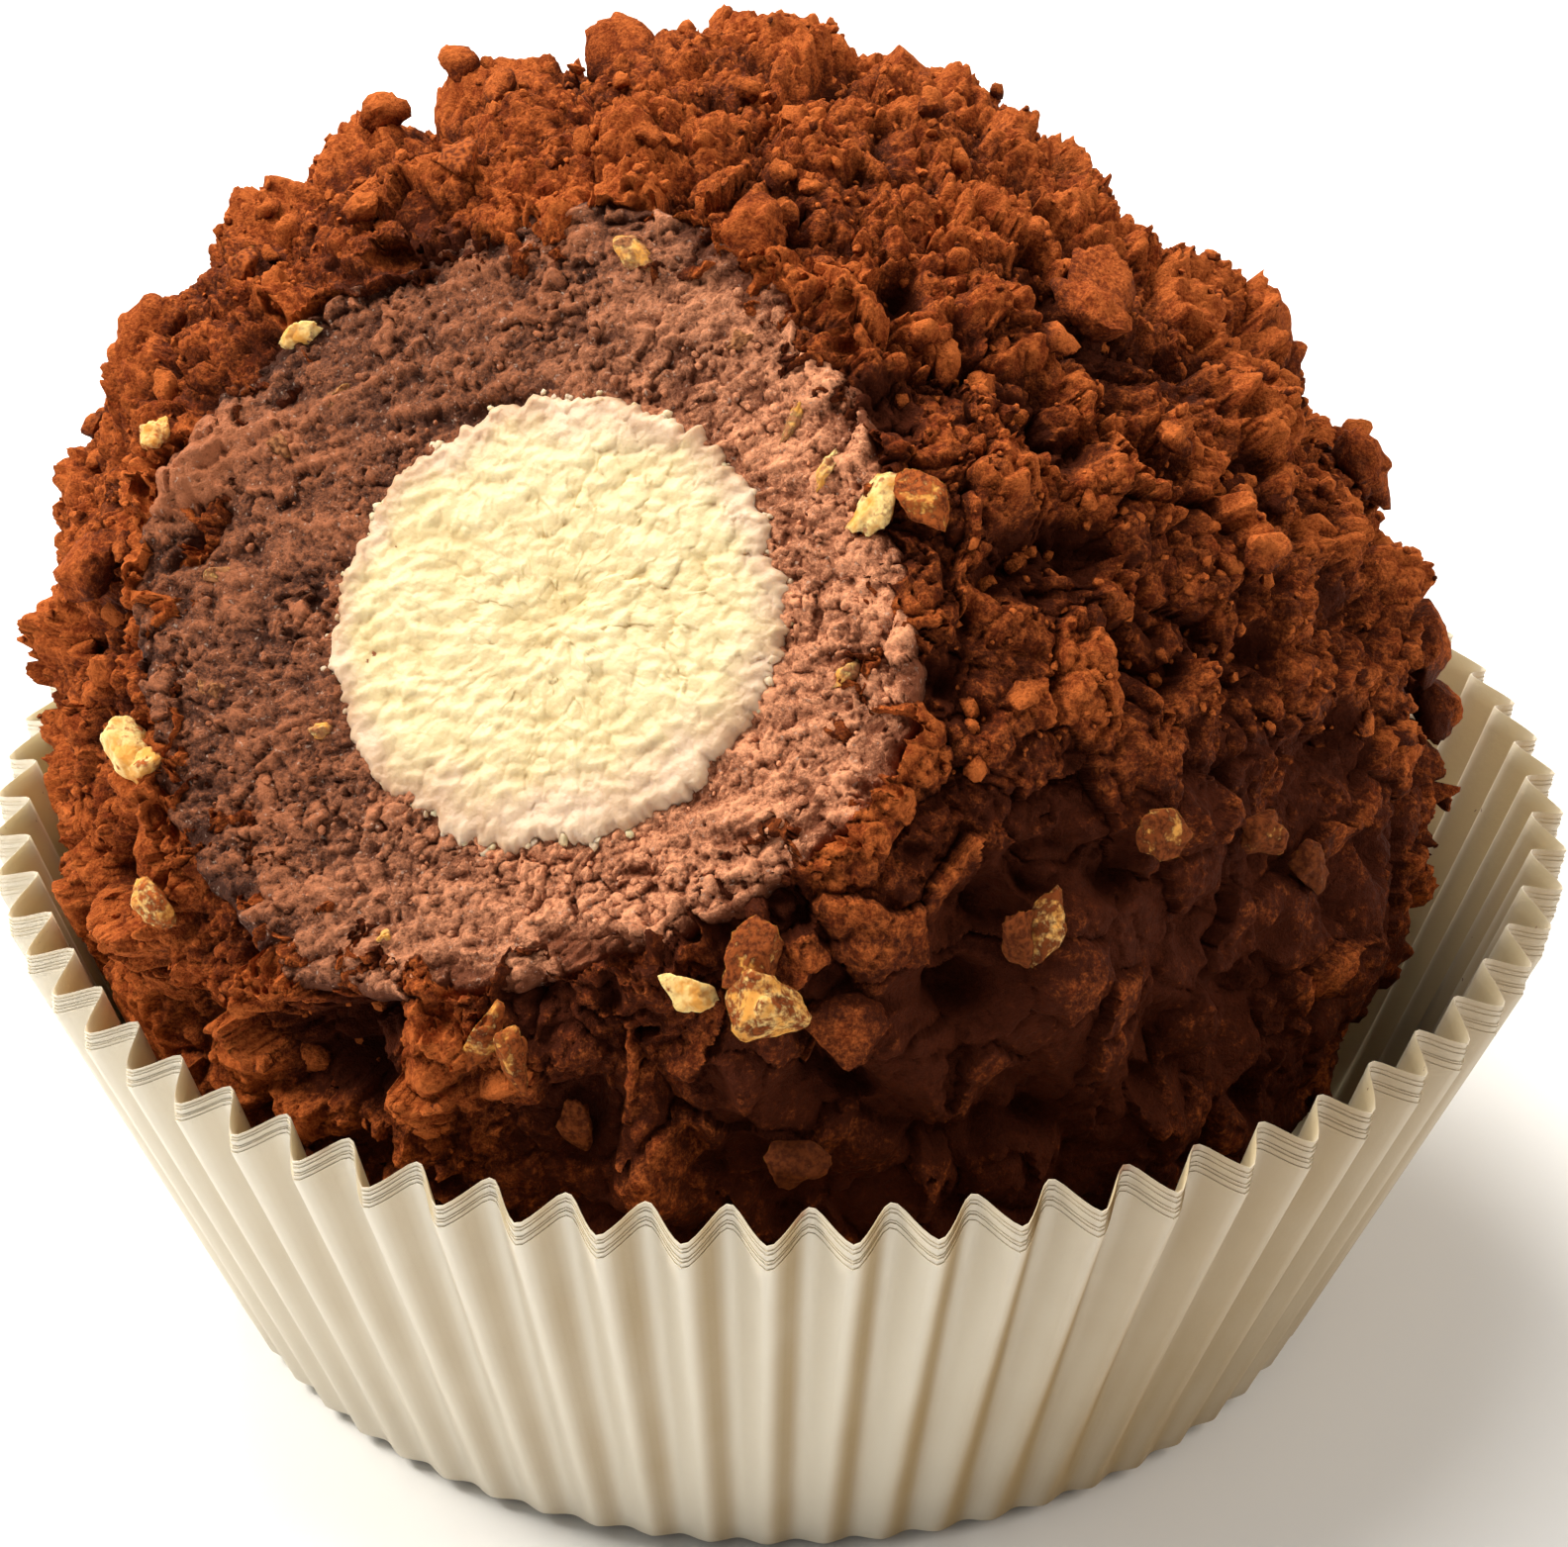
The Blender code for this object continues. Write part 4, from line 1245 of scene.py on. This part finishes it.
def make_face_nuts(finish):
    """Nut that the knife cut through, nearly flush with the face."""
    rng = np.random.default_rng(17)
    rows, columns = 19, 32
    table = np.array(FACE_NUTS)
    count = len(table)
    shapes = bit_shapes(count, rows, columns, rng, 0.8, 6)
    sizes = np.stack([table[:, 2], table[:, 3], 0.5 + 0.4 * table[:, 3]], axis=-1)
    centres = face_point(table[:, 0], table[:, 1], 0.1 - 0.3 * table[:, 5])
    normals = np.broadcast_to(OUT, (count, 3))
    points = place_bits(shapes, sizes, table[:, 4] * DEG, normals, centres)
    flat = points.reshape(-1, 3)
    outward = unit(points - centres[:, None, :]).reshape(-1, 3)
    grit = 0.12 * smooth_noise(flat / 0.5, 75) + 0.08 * smooth_noise(flat / 0.28, 76)
    flat = flat + outward * grit[:, None]
    dusted = np.repeat(table[:, 5], rows * columns + 2)
    attributes = {"dusted": dusted, "filled": np.ones(len(flat))}
    quads, fans = bit_faces(count, rows, columns)
    new_piece("nut_in_face", flat, quads, fans, finish, "chocolate_body", attributes)


# Paper cases: six nested papers, each a little higher than the one outside it.
PAPERS = 6
PAPER_THICKNESS = 0.065
PAPER_RISES = (0.0, 0.30, 0.46, 0.86, 1.08, 1.40)
PLEAT_SAMPLES = 12
FLOOR_RADII = (0.4, 12.0, 24.0)
OUTER_INSET = 0.12
INSET_STEP = 0.075

# Heights of a wall's rings as shares of it: of the first and last papers, and of those between them.
WALL_SHARES = (0.0, 0.033, 0.08, 0.2, 0.35, 0.5, 0.65, 0.8, 0.9, 0.96, 1.0)
HIDDEN_WALL_SHARES = (0.0, 0.033, 0.5, 0.85, 1.0)

# Cocoa smudges on the cases: angle in degrees, height share, half width in degrees, half height, strength.
SMUDGES = (
    (-88.3, 1.0, 1.0, 0.03, 0.9),
    (-82.0, 1.0, 0.8, 0.03, 0.6),
    (-66.0, 1.0, 1.0, 0.03, 0.8),
    (-60.5, 1.0, 1.0, 0.03, 0.7),
    (-121.5, 1.0, 0.8, 0.02, 0.6),
    (-115.5, 1.0, 0.8, 0.02, 0.6),
    (-30.0, 0.90, 2.5, 0.10, 0.8),
    (-24.0, 0.75, 2.0, 0.08, 0.6),
)


def pleat_wave(angles):
    """0 on an outward fold and 1 on an inward one: a triangle wave with the outward folds sharper."""
    cosine = np.cos(PLEATS * (angles - PLEAT_TURN * DEG))
    sharp = 0.5 - 0.5 * np.arcsin(0.91 * cosine) / math.asin(0.91)
    round_wave = 0.5 - 0.5 * np.arcsin(0.60 * cosine) / math.asin(0.60)
    blend = 0.5 - 0.5 * cosine
    return sharp * (1 - blend) + round_wave * blend


def paper_side(shares, angles, rise, inset):
    """Points of one side of a paper's wall: a cone with pleats that deepen upwards, slightly uneven.

    The rise and the inset are given at each angle.
    """
    share, angle = np.meshgrid(shares, angles, indexing="ij")
    wave = pleat_wave(angles)[None, :]
    circle = on_circle(angles)
    uneven = smooth_noise(circle * 14, 111)[None, :]
    wander = smooth_noise(circle * 4, 112)[None, :]
    depth = (PLEAT_DEPTH_FOOT + (PLEAT_DEPTH_RIM - PLEAT_DEPTH_FOOT) * share) * (1 + 0.16 * uneven)
    radius = CASE_BASE_RADIUS + (CASE_RIM_RADIUS - CASE_BASE_RADIUS) * share - inset - depth * wave
    radius = radius + (0.10 * uneven + 0.12 * wander) * share - 0.12 * share
    radius = radius - FOOT_BEND * np.clip(1 - share / 0.033, 0, 1) ** 2
    height = CASE_HEIGHT * share + (PLEAT_RISE * wave + 0.25 * uneven) * share**2 + rise
    return np.stack([radius * np.cos(angle), radius * np.sin(angle), height], axis=-1)


def make_paper(number, finish):
    """One paper as a closed sheet: floor below, wall outside, rim, wall inside, floor above."""
    bottom = number * INNER_CASE_RISE / (PAPERS - 1)
    shares = np.array(WALL_SHARES if number in (0, PAPERS - 1) else HIDDEN_WALL_SHARES)
    columns = PLEATS * PLEAT_SAMPLES
    angles = round_turns(columns)
    circle = on_circle(angles)
    sunk = 0.42 * np.exp((np.cos(angles + 140 * DEG) - 1) / 0.25)
    loose = min(number, PAPERS - 1 - number) * 0.05 * smooth_noise(circle * 3, 115 + number)
    rise = PAPER_RISES[number] * (1 - sunk) + loose
    inset = OUTER_INSET + INSET_STEP * number - (CASE_RIM_RADIUS - CASE_BASE_RADIUS) / CASE_HEIGHT * rise
    outer = paper_side(shares, angles, rise, inset)
    inner = paper_side(shares[::-1], angles, rise, inset + PAPER_THICKNESS)
    inner[-1, :, 2] += PAPER_THICKNESS
    poles = np.array([[0, 0, bottom], [0, 0, bottom + PAPER_THICKNESS]])
    below = np.stack([circle * radius + poles[0] for radius in FLOOR_RADII])
    above = np.stack([circle * radius + poles[1] for radius in FLOOR_RADII[::-1]])
    rings = np.concatenate([below, outer, inner, above])
    rows = len(rings)
    points = np.concatenate([rings.reshape(-1, 3), poles])
    turn = np.degrees(np.arctan2(points[:, 1], points[:, 0]))
    share = np.clip((points[:, 2] - bottom) / CASE_HEIGHT, 0, 1)
    stain = np.zeros(len(points))
    for angle, high, wide, tall, strength in SMUDGES if number == PAPERS - 1 else ():
        apart = (turn - angle + 180) % 360 - 180
        stain += strength * np.exp(-((apart / wide) ** 2) - ((share - high) / tall) ** 2)
    within = np.zeros(rows)
    within[len(below) + len(shares):] = 1.0
    inside = np.concatenate([np.repeat(within, columns), [0.0, 1.0]])
    node = "paper_case_outer" if number < PAPERS // 2 else "paper_case_inner"
    wave = pleat_wave(turn * DEG)
    pleat = np.sin(PLEATS * (turn - PLEAT_TURN) * DEG)
    # Painted shade: browner on the right, most on the right front, and on one side of each pleat.
    facing = np.cos(turn * DEG) - 0.8 * np.sin(turn * DEG) * pleat
    shade_tan = np.clip(0.32 + 0.5 * facing + 0.35 * np.exp(-(((turn + 56) / 16) ** 2)), 0, 1)
    # Lighter lines along the folds: painted highlights.
    fold = np.maximum((1 - wave) ** 5, wave**6) * np.clip(share, 0, 1)
    # Brighter and yellower on the inside of the left: painted glow.
    inside_glow = inside * np.clip(-np.cos(turn * DEG), 0, 1) ** 2
    attributes = {"stain": stain, "inside": inside, "shade_tan": shade_tan, "fold": fold, "inside_glow": inside_glow}
    quads = wrapped_grid(rows, columns, False)
    fans = pole_fans(rows, columns)
    new_piece(f"paper_{number}", points, quads, fans, finish, node, attributes, sharp=80)


def make_camera():
    """The photograph's view: down at the rim's middle, with the axis then turned to the image's middle."""
    toward = np.array([0.0, -math.cos(ELEVATION * DEG), math.sin(ELEVATION * DEG)])
    upright = np.array([0.0, math.sin(ELEVATION * DEG), math.cos(ELEVATION * DEG)])
    right = np.array([1.0, 0.0, 0.0])
    eye = np.array([0.0, 0.0, CASE_HEIGHT]) + toward * EYE_DISTANCE
    cosine, sine = math.cos(ROLL * DEG), math.sin(ROLL * DEG)
    image_right = right * cosine - upright * sine
    image_up = right * sine + upright * cosine
    off = (np.array([IMAGE[0] / 2, IMAGE[1] / 2]) - np.array(RIM_CENTRE_PX)) / FOCAL_PX
    forward = unit(-toward + image_right * off[0] - image_up * off[1])
    side = unit(image_right - forward * (image_right @ forward))
    head = np.cross(side, forward)
    data = bpy.data.cameras.new("camera")
    data.sensor_width = SENSOR
    data.lens = FOCAL_PX * SENSOR / IMAGE[0]
    data.clip_start = NEAR_CLIP
    camera = bpy.data.objects.new("camera", data)
    bpy.context.scene.collection.objects.link(camera)
    turn = Matrix(np.stack([side, head, -forward], axis=1).tolist()).to_4x4()
    camera.matrix_world = Matrix.Translation(Vector((eye * MM).tolist())) @ turn
    bpy.context.scene.camera = camera


def add_light(name, azimuth, elevation, size, power, colour):
    """A square area light that looks at the object from an azimuth and an elevation in degrees."""
    data = bpy.data.lights.new(name, "AREA")
    data.shape = "SQUARE"
    data.size = size
    data.energy = power
    data.color = colour
    light = bpy.data.objects.new(name, data)
    bpy.context.scene.collection.objects.link(light)
    away = Vector(direction(azimuth, elevation).tolist())
    light.location = Vector(LIGHT_TARGET) + away * LIGHT_DISTANCE
    light.rotation_euler = away.to_track_quat("Z", "Y").to_euler()


def make_stage():
    """A wide pale floor, a warm key from the left, lights from above, the right and behind, a pale sky."""
    finish = floor_finish()
    mesh = bpy.data.meshes.new("floor")
    columns = 64
    ring = on_circle(round_turns(columns)) * FLOOR_RADIUS
    mesh.from_pydata(ring.tolist(), [], [list(range(columns))])
    mesh.materials.append(finish.material)
    floor = bpy.data.objects.new("floor", mesh)
    bpy.context.scene.collection.objects.link(floor)
    for row in LIGHTS:
        add_light(*row)
    world = bpy.data.worlds.new("sky")
    bpy.context.scene.world = world
    world.use_nodes = True
    sky = world.node_tree.nodes["Background"]
    sky.inputs["Color"].default_value = SKY_COLOUR
    sky.inputs["Strength"].default_value = SKY_STRENGTH
    bpy.context.scene.view_settings.view_transform = "Standard"


def main():
    make_camera()
    make_stage()
    cocoa = cocoa_finish()
    ganache = ganache_finish()
    cream = cream_finish()
    nut = nut_finish()
    paper = paper_finish()
    make_coat(cocoa)
    make_solid_bits(cocoa, nut)
    make_crumbs("crumbs", 500, (0.6, 1.8), 9, 14, 21, cocoa)
    make_crumbs("grains", 2500, (0.25, 0.6), 3, 6, 22, cocoa)
    make_ganache(ganache)
    make_core(cream)
    make_face_crumbs("cream_crumbs", 130, (0.2, 0.5), 23, cream, "cream_core", (-0.6, 0.15))
    make_face_crumbs(
        "ganache_crumbs", 480, (0.15, 0.42), 24, ganache, "chocolate_body", (0.2, 6.5)
    )
    make_face_nuts(nut)
    for number in range(PAPERS):
        make_paper(number, paper)


main()
